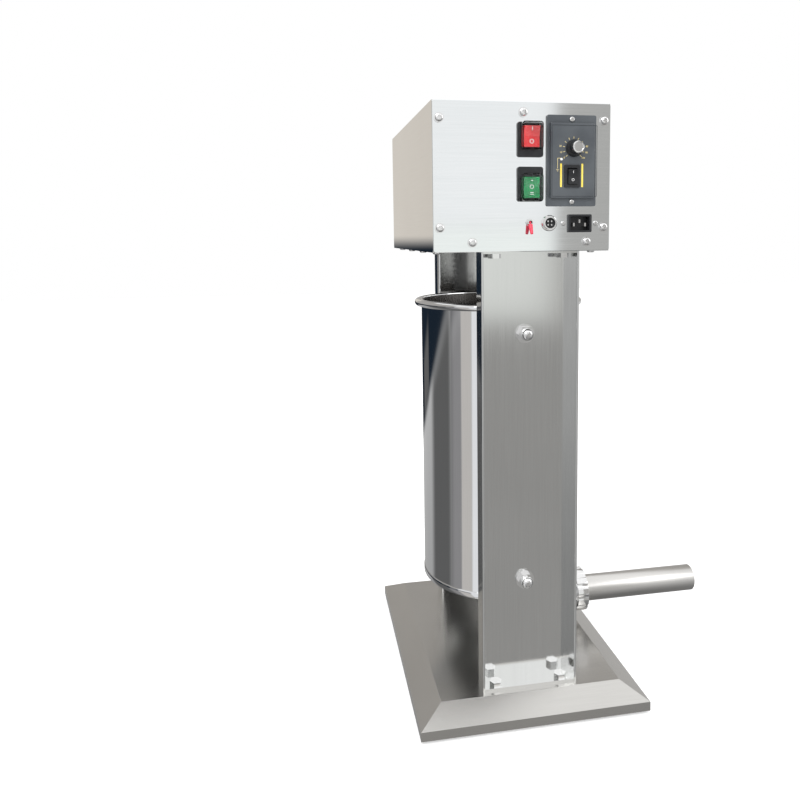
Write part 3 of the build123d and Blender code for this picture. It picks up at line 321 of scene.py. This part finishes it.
# %% [markdown]
# ## Plastics, rubber and lenses
# Moulded plastic is never quite even: it has a fine pebbled skin and slight changes of gloss.
# The rocker lenses are clear coloured plastic with a weak painted glow: emission stands in for the light seen in
# them, though the switches are off.

# %% Plastics


def moulded(name, dark, light, rough, pebble=0.12, grain_size=900.0):
    """Moulded plastic or rubber with a fine skin."""
    tree, shader, place = new_finish(name)
    cloud = noise_node(tree, place, 35.0, 2.0)
    skin = noise_node(tree, place, grain_size, 3.0)
    colour = ramp_node(tree, [(0.35, dark), (0.65, light)])
    tree.links.new(cloud, colour.inputs[0])
    tree.links.new(colour.outputs[0], shader.inputs["Base Color"])
    tree.links.new(range_node(tree, cloud, *rough), shader.inputs["Roughness"])
    bump_node(tree, shader, skin, pebble, 0.00006)
    return shader


moulded("black_plastic", (0.010, 0.011, 0.013), (0.018, 0.019, 0.022), (0.28, 0.42))
moulded("slate_plastic", (0.060, 0.068, 0.078), (0.078, 0.088, 0.098), (0.38, 0.50), 0.2)
moulded("slate_shadow", (0.018, 0.021, 0.026), (0.026, 0.030, 0.036), (0.40, 0.55))
moulded("black_rubber", (0.012, 0.012, 0.012), (0.025, 0.025, 0.025), (0.60, 0.75), 0.3)
moulded("white_nylon", (0.78, 0.77, 0.73), (0.86, 0.85, 0.81), (0.38, 0.50))
moulded("white_silicone", (0.74, 0.74, 0.71), (0.82, 0.82, 0.79), (0.45, 0.58), 0.2)
moulded("red_sleeve", (0.72, 0.03, 0.07), (0.85, 0.07, 0.12), (0.25, 0.35))
moulded("gold_print", (0.70, 0.55, 0.22), (0.84, 0.70, 0.34), (0.40, 0.55))
moulded("yellow_print", (0.78, 0.60, 0.06), (0.88, 0.70, 0.12), (0.40, 0.55))
moulded("white_print", (0.86, 0.86, 0.86), (0.95, 0.95, 0.95), (0.35, 0.50))

red_shader = moulded("red_lens", (0.42, 0.004, 0.008), (0.62, 0.012, 0.018), (0.10, 0.18), 0.03)
red_shader.inputs["Coat Weight"].default_value = 0.6
# Painted glow: the red lens emits a little light, though the switch is off.
red_shader.inputs["Emission Color"].default_value = (0.9, 0.02, 0.02, 1.0)
red_shader.inputs["Emission Strength"].default_value = 0.25
green_shader = moulded("green_lens", (0.002, 0.15, 0.04), (0.004, 0.24, 0.07), (0.10, 0.18), 0.03)
green_shader.inputs["Coat Weight"].default_value = 0.6
# Painted glow on the green lens too, though the switch is off.
green_shader.inputs["Emission Color"].default_value = (0.0, 0.5, 0.14, 1.0)
green_shader.inputs["Emission Strength"].default_value = 0.10
lamp_shader = moulded("lamp_white", (0.88, 0.88, 0.84), (0.96, 0.96, 0.92), (0.12, 0.20), 0.02)
lamp_shader.inputs["Coat Weight"].default_value = 0.5

boot_shader = moulded("clear_boot", (0.90, 0.92, 0.92), (0.97, 0.98, 0.98), (0.05, 0.12), 0.04, 300.0)
boot_shader.inputs["Transmission Weight"].default_value = 1.0
boot_shader.inputs["IOR"].default_value = 1.25
print("all finishes", len(finishes))

# %% [markdown]
# ## Dressing the CAD nodes
# Every node keeps its shape from the CAD and takes the finish of the real part.

# %% Finishes on nodes
NODE_FINISH = {
    "column_steel": ["column_front", "column_rear"],
    "base_steel": ["base_pan"],
    "cover_steel": ["housing_floor", "housing_cover"],
    "panel_steel": ["front_panel", "rear_panel"],
    "barrel_steel": ["barrel", "barrel_bottom", "outlet_elbow"],
    "nozzle_steel": ["nozzle"],
    "bright_steel": [
        "column_bolts", "column_nuts", "panel_screws", "panel_washers", "floor_screws",
        "gearhead_screws", "small_screws", "socket_shell", "connector_pins", "toggle_bushing",
        "barrel_bolts", "bolt_washers", "domed_nuts", "piston_nut", "air_valve", "ring_nut",
    ],
    "machined_steel": [
        "gearbox_plate_front", "gearbox_plate_rear", "gearbox_spacers", "rack", "main_shaft",
        "main_gear", "rack_pinion", "motor_shaft", "motor_pinion",
    ],
    "cast_aluminium": ["motor_body", "gearhead"],
    "bearing_bronze": ["shaft_bushes"],
    "black_plastic": [
        "run_capacitor", "controller_case", "switch_bodies", "run_switch_body",
        "socket_insert", "power_inlet", "speed_knob", "run_rocker",
    ],
    "slate_plastic": ["controller_bezel"],
    "black_rubber": ["rubber_feet"],
    "white_nylon": ["rack_guides", "guide_pads", "piston_plates"],
    "white_silicone": ["piston_seal", "nozzle_gasket"],
    "red_lens": ["power_rocker"],
    "green_lens": ["direction_rocker"],
    "red_sleeve": ["toggle_lever"],
    "lamp_white": ["power_lamp"],
    "clear_boot": ["switch_boots"],
}
dressed = set()
for finish, names in NODE_FINISH.items():
    for name in names:
        mesh = nodes[name].data
        mesh.materials.clear()
        mesh.materials.append(finishes[finish])
        dressed.add(name)
print("dressed", len(dressed), "left bare", sorted(set(nodes) - dressed))

# %% [markdown]
# ## Working by hand
# These few helpers do what a modeller does with the mouse: start from nothing selected, draw
# a half section and spin it, choose edges by their place, and finish a piece so that its
# object sits at the origin like a CAD node.

# %% Modelling helpers


def deselect_all():
    """Leaves edit mode and selects nothing."""
    if bpy.context.object and bpy.context.object.mode != "OBJECT":
        bpy.ops.object.mode_set(mode="OBJECT")
    bpy.ops.object.select_all(action="DESELECT")


def pick(*pieces):
    """Selects these pieces only; the first is the active one."""
    deselect_all()
    for piece in pieces:
        piece.select_set(True)
    bpy.context.view_layer.objects.active = pieces[0]


def apply_modifiers(piece):
    """Applies every modifier in turn."""
    pick(piece)
    for modifier in list(piece.modifiers):
        bpy.ops.object.modifier_apply(modifier=modifier.name)


def join(name, *pieces):
    """Makes one piece of several."""
    pick(*pieces)
    if len(pieces) > 1:
        bpy.ops.object.join()
    pieces[0].name = name
    return pieces[0]


SMOOTH_ANGLE = math.radians(35)
BEVEL_ANGLE = math.radians(30)


def finish_piece(piece, name, finish, body, replaced=()):
    """Names a piece, gives it its finish and body, and bakes its place into its mesh."""
    pick(piece)
    bpy.ops.object.transform_apply(location=True, rotation=True, scale=True)
    bpy.ops.object.shade_smooth_by_angle(angle=SMOOTH_ANGLE)
    piece.name = name
    piece.data.name = name
    piece.data.materials.clear()
    piece.data.materials.append(finishes[finish])
    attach(piece, body)
    if replaced:
        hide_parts(*replaced)
    print(name, len(piece.data.polygons), "faces on", body)
    return piece


MERGE = 0.000005


def turned(outline, centre, axis, across, steps=96):
    """A lathe: the closed half section is drawn point by point, then spun about the axis.

    Each point is (distance from the axis, distance along it), in millimetres."""
    deselect_all()
    points = [centre + across * (r * MM) + axis * (a * MM) for r, a in outline]
    bpy.ops.mesh.primitive_plane_add(size=0.002, location=(0, 0, 0))
    piece = bpy.context.object
    bpy.ops.object.mode_set(mode="EDIT")
    bpy.ops.mesh.merge(type="CENTER")
    bpy.ops.transform.translate(value=points[0])
    for before, after in zip(points, points[1:] + points[:1]):
        bpy.ops.mesh.extrude_vertices_move(TRANSFORM_OT_translate={"value": after - before})
    bpy.ops.mesh.select_all(action="SELECT")
    bpy.ops.mesh.remove_doubles(threshold=MERGE)
    bpy.ops.mesh.spin(steps=steps, angle=2 * math.pi, center=centre, axis=axis)
    bpy.ops.mesh.select_all(action="SELECT")
    bpy.ops.mesh.remove_doubles(threshold=MERGE)
    bpy.ops.mesh.normals_make_consistent(inside=False)
    bpy.ops.object.mode_set(mode="OBJECT")
    return piece


def cut(piece, cutter):
    """Takes the cutter's shape out of a piece."""
    modifier = piece.modifiers.new("cut", "BOOLEAN")
    modifier.object = cutter
    modifier.operation = "DIFFERENCE"
    modifier.solver = "EXACT"
    apply_modifiers(piece)
    bpy.data.objects.remove(cutter, do_unlink=True)
    return piece


def bevelled(piece, width, segments):
    """Rounds the sharp edges of a piece."""
    modifier = piece.modifiers.new("round", "BEVEL")
    modifier.width = width * MM
    modifier.segments = segments
    modifier.limit_method = "ANGLE"
    modifier.angle_limit = BEVEL_ANGLE
    apply_modifiers(piece)
    return piece


X = Vector((1, 0, 0))
Y = Vector((0, 1, 0))
Z = Vector((0, 0, 1))

# %% [markdown]
# ## Folded columns
# The edge of a sheet always catches a line of light, because it is a little rounded. A copy of
# each column's mesh is merged, its flat faces are dissolved to single faces, and the long
# free edges of its sheet are then rounded. Only the bends and the rounded edges are shaded smooth.

# %% Eased sheet edges
LONG_EDGE = 0.1
NEAR_FRONT = 0.0002
EDGE_ROUND = 1.2
FLAT = 0.9999


def eased_copy(node_name, piece_name, finish):
    """A merged copy of a node with the long free edges of its sheet rounded."""
    piece = nodes[node_name].copy()
    piece.data = nodes[node_name].data.copy()
    bpy.context.scene.collection.objects.link(piece)
    pick(piece)
    bpy.ops.object.mode_set(mode="EDIT")
    bpy.ops.mesh.select_all(action="SELECT")
    bpy.ops.mesh.remove_doubles(threshold=0.00001)
    bpy.ops.mesh.dissolve_limited(angle_limit=math.radians(1.0))
    bpy.ops.object.mode_set(mode="OBJECT")
    reach = max(abs(vertex.co.y) for vertex in piece.data.vertices)
    deselect_all()
    for part in (piece.data.vertices, piece.data.edges, piece.data.polygons):
        part.foreach_set("select", [False] * len(part))
    eased = 0
    for edge in piece.data.edges:
        ends = [piece.data.vertices[index] for index in edge.vertices]
        along = abs(ends[0].co.z - ends[1].co.z)
        if along > LONG_EDGE and min(abs(end.co.y) for end in ends) > reach - NEAR_FRONT:
            edge.select = True
            ends[0].select = ends[1].select = True
            eased += 1
    pick(piece)
    bpy.context.tool_settings.mesh_select_mode = (False, True, False)
    bpy.ops.object.mode_set(mode="EDIT")
    bpy.ops.mesh.bevel(offset=EDGE_ROUND * MM, segments=4, affect="EDGES", clamp_overlap=False)
    bpy.ops.object.mode_set(mode="OBJECT")
    bpy.context.tool_settings.mesh_select_mode = (True, False, False)
    print(piece_name, "rounded edges", eased)
    finish_piece(piece, piece_name, finish, "machine", [node_name])
    for polygon in piece.data.polygons:
        polygon.use_smooth = max(abs(part) for part in polygon.normal) < FLAT
    return piece


for node_name in ("column_front", "column_rear"):
    eased_copy(node_name, node_name + "_sheet", "column_steel")

# %% [markdown]
# ## Barrel
# The barrel is a deep-drawn polished tube with a rolled rim. Its reflections run in long
# vertical streaks, so it needs many steps round and a rim that is truly round. A half
# section spun about the axis gives both.

# %% Barrel wall
barrel_low, barrel_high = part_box("barrel")
BORE = 106.0
WALL = 2.0
RIM_ROLL = 5.0
rim_z = barrel_high.z / MM
rim_centre = (BORE + WALL + RIM_ROLL - 0.5, rim_z - RIM_ROLL)
rim_arc = [
    (rim_centre[0] + RIM_ROLL * math.cos(a), rim_centre[1] + RIM_ROLL * math.sin(a))
    for a in [math.radians(d) for d in range(200, -151, -14)]
]
wall_low = 126.0
LINING = 1.0
lining_top = rim_z - 2.0
barrel_section = [
    (BORE + LINING, wall_low), (BORE + LINING, lining_top), (BORE + 1.2, rim_z - 0.9), (BORE + 3.4, rim_z - 0.3),
]
barrel_section += [(r, z) for r, z in rim_arc if not (r < rim_centre[0] and z > rim_z - 1.6)]
barrel_section += [(BORE + WALL, rim_z - RIM_ROLL - 3.2), (BORE + WALL, wall_low)]
barrel_wall = turned(barrel_section, Vector((0, 0, 0)), Z, X, 192)

BOSS_RADIUS = 13.0
BOSS_END = -barrel_low.y / MM
PIVOT = Vector((0, 0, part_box("bolt_washers")[0].z + 0.012))
BOSS_BORE = 5.2
BOSS_EASE = 1.5
boss_section = [
    (BOSS_BORE, BORE + 0.6), (BOSS_RADIUS, BORE + 0.6), (BOSS_RADIUS, BOSS_END - BOSS_EASE),
    (BOSS_RADIUS - BOSS_EASE, BOSS_END), (BOSS_BORE, BOSS_END),
]
bosses = [turned(boss_section, PIVOT, side * Y, X, 64) for side in (-1, 1)]
barrel_piece = join("barrel_wall", barrel_wall, *bosses)
finish_piece(barrel_piece, "barrel_wall", "barrel_steel", "machine", ["barrel"])

# %% Barrel lining
# The inside is satin and darker than the polished outside
lining_section = [
    (BORE, wall_low), (BORE, lining_top - 0.6), (BORE + LINING, lining_top), (BORE + LINING, wall_low),
]
lining = turned(lining_section, Vector((0, 0, 0)), Z, X, 192)
finish_piece(lining, "barrel_lining", "lining_steel", "machine")

# %% Barrel bottom
SKIRT = BORE + WALL + 1.0
base_section = [
    (0.0, 124.0), (SKIRT - 1.6, 124.0), (SKIRT - 0.5, 124.5), (SKIRT, 125.6),
    (SKIRT, 132.4), (SKIRT - 0.4, 133.0), (BORE + WALL, 133.0), (BORE + WALL, 126.0), (0.0, 126.0),
]
barrel_cup = turned(base_section, Vector((0, 0, 0)), Z, X, 192)
deselect_all()
bpy.ops.mesh.primitive_cylinder_add(vertices=96, radius=0.022, depth=0.02, location=(0.060, 0, 0.126))
cut(barrel_cup, bpy.context.object)
finish_piece(barrel_cup, "barrel_cup", "barrel_steel", "machine", ["barrel_bottom"])

# %% [markdown]
# ## Nozzle and ring nut
# The nozzle is a plain tube held by a cast ring nut with finger scallops. The nut is a disc
# with twelve round bites taken out of its rim, and every edge is then broken.

# %% Nozzle
OUTLET = Vector((0, 0, 0.077))
nozzle_section = [
    (17.5, 122.5), (25.0, 122.5), (25.0, 126.0), (20.5, 126.0), (20.5, 130.5), (19.0, 130.5), (19.0, 305.4),
    (18.6, 306.0), (17.9, 306.0), (17.5, 305.4),
]
nozzle_tube = turned(nozzle_section, OUTLET, X, Z, 96)
finish_piece(nozzle_tube, "nozzle_tube", "nozzle_steel", "nozzle", ["nozzle"])

# %% Ring nut
NUT_RADIUS = 31.0
nut_section = [
    (26.05, 114.0), (NUT_RADIUS, 114.0), (NUT_RADIUS, 130.0), (20.6, 130.0), (20.6, 126.0), (26.05, 126.0),
]
nut_body = turned(nut_section, OUTLET, X, Z, 144)
SCALLOPS = 12
BITE_CENTRE = 0.0388
bites = []
for k in range(SCALLOPS):
    angle = 2 * math.pi * k / SCALLOPS
    place = OUTLET + Vector((0.122, math.cos(angle) * BITE_CENTRE, math.sin(angle) * BITE_CENTRE))
    deselect_all()
    bpy.ops.mesh.primitive_cylinder_add(
        vertices=64, radius=0.009, depth=0.03, location=place, rotation=(0, math.pi / 2, 0),
    )
    bites.append(bpy.context.object)
cut(nut_body, join("nut_bites", *bites))
bevelled(nut_body, 0.8, 3)
finish_piece(nut_body, "ring_nut_scalloped", "bright_steel", "ring_nut", ["ring_nut"])

# %% [markdown]
# ## Screws of the end panels
# Pan-head screws with a cross recess. One is turned, the cross is cut out of it, and it is
# then copied to all fourteen places, each copy with its own mesh.

# %% Pan-head screw
HEAD = 4.6
HEAD_HEIGHT = 2.8
PANEL_FACE = -184.0
WASHER = 0.9
head_section = [(0.0, -1.0), (2.4, -1.0), (2.4, 0.0), (HEAD, 0.0), (HEAD, 1.0)]
head_section += [(HEAD - 1.9 * (1 - math.cos(a)), 1.0 + 1.8 * math.sin(a)) for a in (0.4, 0.8, 1.2, 1.5708)]
head_section += [(0.0, HEAD_HEIGHT)]
screw_head = turned(head_section, Vector((0, 0, 0)), -Y, X, 48)
arms = []
for size in ((0.0046, 0.0036, 0.0011), (0.0011, 0.0036, 0.0046)):
    deselect_all()
    bpy.ops.mesh.primitive_cube_add(size=1.0, location=(0, -0.0026, 0), scale=size)
    arms.append(bpy.context.object)
    pick(arms[-1])
    bpy.ops.object.transform_apply(location=False, rotation=False, scale=True)
for arm in arms:
    cut(screw_head, arm)
print("screw head", len(screw_head.data.polygons), "faces")

# %% Fourteen copies
screw_places = [(x, z) for x in (-116.0, 82.0) for z in (618.0, 742.0)]
screw_places += [(-17.0, 750.0), (-78.0, 601.0), (61.0, 601.0)]
copies = []
for side in (1, -1):
    for index, (x, z) in enumerate(screw_places):
        copy = screw_head.copy()
        copy.data = screw_head.data.copy()
        bpy.context.scene.collection.objects.link(copy)
        spin = Matrix.Rotation(0.5 + 0.83 * index, 4, "Y")
        facing = Matrix.Rotation(0 if side == 1 else math.pi, 4, "Z")
        seat = Vector((x, side * (PANEL_FACE - WASHER), z)) * MM
        copy.matrix_world = Matrix.Translation(seat) @ facing @ spin
        copies.append(copy)
bpy.data.objects.remove(screw_head, do_unlink=True)
panel_heads = join("panel_screw_heads", *copies)
finish_piece(panel_heads, "panel_screw_heads", "bright_steel", "machine", ["panel_screws"])

# %% [markdown]
# ## Speed knob
# A black knob with a fluted grip and a turned metal cap. The flutes are made by choosing
# every other pair of points of a cylinder and drawing them in towards the axis.

# %% Knob
KNOB_CENTRE = Vector((42.0, 0.0, 709.0)) * MM
KNOB_BACK = -192.0
FLUTES = 24


def knob_ring(radius, y_from, y_to, fluted):
    """A short cylinder on the knob's axis, with flutes where asked."""
    deselect_all()
    middle = KNOB_CENTRE + Y * ((y_from + y_to) / 2 * MM)
    bpy.ops.mesh.primitive_cylinder_add(
        vertices=FLUTES * 6, radius=radius * MM, depth=abs(y_to - y_from) * MM,
        location=middle, rotation=(math.pi / 2, 0, 0),
    )
    ring = bpy.context.object
    pick(ring)
    bpy.ops.object.transform_apply(location=True, rotation=True, scale=True)
    if fluted:
        for vertex in ring.data.vertices:
            spoke = Vector((vertex.co.x - KNOB_CENTRE.x, 0, vertex.co.z - KNOB_CENTRE.z))
            angle = math.atan2(spoke.z, spoke.x)
            vertex.select = math.cos(angle * FLUTES) < -0.4
        bpy.ops.object.mode_set(mode="EDIT")
        bpy.ops.transform.resize(value=(0.93, 1.0, 0.93), center_override=KNOB_CENTRE)
        bpy.ops.object.mode_set(mode="OBJECT")
    return ring


knob_skirt = turned(
    [(0.0, 0.0), (10.0, 0.0), (10.0, 1.4), (9.3, 2.6), (8.4, 5.2), (0.0, 5.2)],
    KNOB_CENTRE + Y * KNOB_BACK * MM, -Y, X, 96,
)
knob_grip = bevelled(knob_ring(7.7, KNOB_BACK - 5.0, KNOB_BACK - 14.6, True), 0.3, 2)
knob_piece = join("knob_grip", knob_skirt, knob_grip)
finish_piece(knob_piece, "knob_grip", "black_plastic", "speed_knob", ["speed_knob"])
knob_cap = turned(
    [(0.0, 14.0), (6.9, 14.0), (7.0, 15.2), (6.5, 15.9), (5.6, 16.0), (5.2, 15.7), (0.0, 15.7)],
    KNOB_CENTRE + Y * KNOB_BACK * MM, -Y, X, 96,
)
finish_piece(knob_cap, "knob_cap", "bright_steel", "speed_knob")

# %% [markdown]
# ## Printed dial
# The controller's face has a printed scale round the knob, a bracket that leads to the
# lamp, and two yellow bars beside the switch. Print has almost no height, so each mark is a
# thin plate on the face. Only plain numbers stand on it.

# %% Marks on the controller
DIAL_FACE = -191.0
PRINT = 0.12


def printed_bar(x, z, width, height, turn=0.0, face=DIAL_FACE):
    """A thin printed bar that stands just proud of a face, with its corners eased."""
    deselect_all()
    bpy.ops.mesh.primitive_cube_add(
        size=1.0, location=(x * MM, (face - PRINT / 2) * MM, z * MM),
        scale=(width * MM, PRINT * MM, height * MM), rotation=(0, turn, 0),
    )
    bar = bpy.context.object
    pick(bar)
    bpy.ops.object.transform_apply(location=False, rotation=False, scale=True)
    return bevelled(bar, 0.03, 1)


def printed_text(words, x, z, size, face=DIAL_FACE, lean=0.0):
    """Plain characters turned into a mesh a hair thick."""
    deselect_all()
    bpy.ops.object.text_add(
        location=(x * MM, (face - PRINT / 2) * MM, z * MM), rotation=(math.pi / 2 + lean, 0, 0),
    )
    text = bpy.context.object
    text.data.body = words
    text.data.size = size * MM
    text.data.align_x = "CENTER"
    text.data.align_y = "CENTER"
    text.data.extrude = PRINT * MM / 2
    bpy.ops.object.convert(target="MESH")
    return bpy.context.object


DIAL_X, DIAL_Z = 42.0, 709.0
SCALE_SWEEP = math.radians(270)
DIVISIONS = 10
NUMBERED = (0, 1, 2, 8, 9, 10)
marks = []
for k in range(DIVISIONS + 1):
    angle = math.radians(225) - SCALE_SWEEP * k / DIVISIONS
    c, s = math.cos(angle), math.sin(angle)
    marks.append(printed_bar(DIAL_X + 12.2 * c, DIAL_Z + 12.2 * s, 2.4, 0.55, -angle))
    if k in NUMBERED:
        marks.append(printed_text(str(k * 10), DIAL_X + 16.4 * c, DIAL_Z + 15.2 * s, 2.9))
marks.append(printed_bar(25.0, 697.6, 5.2, 0.45))
marks.append(printed_bar(22.4, 691.8, 0.45, 12.0))
marks.append(printed_bar(22.4, 684.6, 3.2, 0.45))
marks.append(printed_bar(22.4, 683.0, 1.8, 0.45))
dial_print = join("dial_print", *marks)
finish_piece(dial_print, "dial_print", "gold_print", "machine")
bars = [printed_bar(39.6 + side * 13.0, 678.0, 2.2, 27.0) for side in (-1, 1)]
bar_print = join("switch_bars", *bars)
finish_piece(bar_print, "switch_bars", "yellow_print", "machine")

# %% Painted shade round the raised panel
PANEL_LEFT, PANEL_RIGHT, PANEL_LOW, PANEL_HIGH = 15.7, 70.5, 653.9, 735.3
panel_x = (PANEL_LEFT + PANEL_RIGHT) / 2
panel_z = (PANEL_LOW + PANEL_HIGH) / 2
# Thin dark bars in slate_shadow round the raised panel are painted shade. They stand in for the shaded sides and
# gap of the raised block.
edges = [printed_bar(x, panel_z, 0.6, PANEL_HIGH - PANEL_LOW) for x in (PANEL_LEFT, PANEL_RIGHT)]
edges += [printed_bar(panel_x, z, PANEL_RIGHT - PANEL_LEFT, 0.6) for z in (PANEL_LOW, PANEL_HIGH)]
finish_piece(join("panel_painted_shade", *edges), "panel_painted_shade", "slate_shadow", "machine")

# %% [markdown]
# ## Marks on the rockers
# A rocker's face is tilted, so each mark is laid on it: a ray from the front finds the face
# and its slope, and the mark leans to match.

# %% Marks on the rockers
RAY_START = -400.0
MARK_LIFT = 0.3
switch_marks = {
    "power_rocker": [("I", -9.0, 730.5, 7.0), ("O", -9.0, 716.0, 7.0)],
    "direction_rocker": [("-", -9.0, 672.4, 9.0), ("O", -9.0, 664.5, 6.6), ("=", -9.0, 656.6, 9.0)],
    "run_rocker": [("I", 40.0, 681.6, 4.2), ("O", 40.0, 672.6, 4.2)],
}
for body, places in switch_marks.items():
    mesh = nodes[body].data
    surface = BVHTree.FromPolygons(
        [vertex.co for vertex in mesh.vertices], [polygon.vertices for polygon in mesh.polygons],
    )
    texts = []
    for words, x, z, size in places:
        point, normal = surface.ray_cast(Vector((x, RAY_START, z)) * MM, Y)[:2]
        slope = math.atan2(normal.z, -normal.y)
        face = point.y / MM - MARK_LIFT
        texts.append(printed_text(words, x, z, size, face, -slope))
    print_piece = join(body + "_marks", *texts)
    finish_piece(print_piece, body + "_marks", "white_print", body)

# %% [markdown]
# ## Floor
# A plain pale sheet under the rubber feet, far wider than the view. Reflections look past it
# to the grey floor of the room.

# %% Floor
deselect_all()
bpy.ops.mesh.primitive_plane_add(size=14.0, location=(0, 0, 0))
floor = bpy.context.object
floor.name = "studio_floor"
tree, paper, place = new_finish("studio_paper")
grain = noise_node(tree, place, 40.0, 2.0)
sheet = ramp_node(tree, [(0.35, (0.795, 0.795, 0.795)), (0.65, (0.805, 0.805, 0.805))])
tree.links.new(grain, sheet.inputs[0])
tree.links.new(sheet.outputs[0], paper.inputs["Base Color"])
paper.inputs["Roughness"].default_value = 0.9
paper.inputs["Specular IOR Level"].default_value = 0.0
paper.inputs["Emission Color"].default_value = (1.0, 1.0, 1.0, 1.0)
paper.inputs["Emission Strength"].default_value = 0.42
floor.visible_glossy = False
floor.data.materials.append(finishes["studio_paper"])
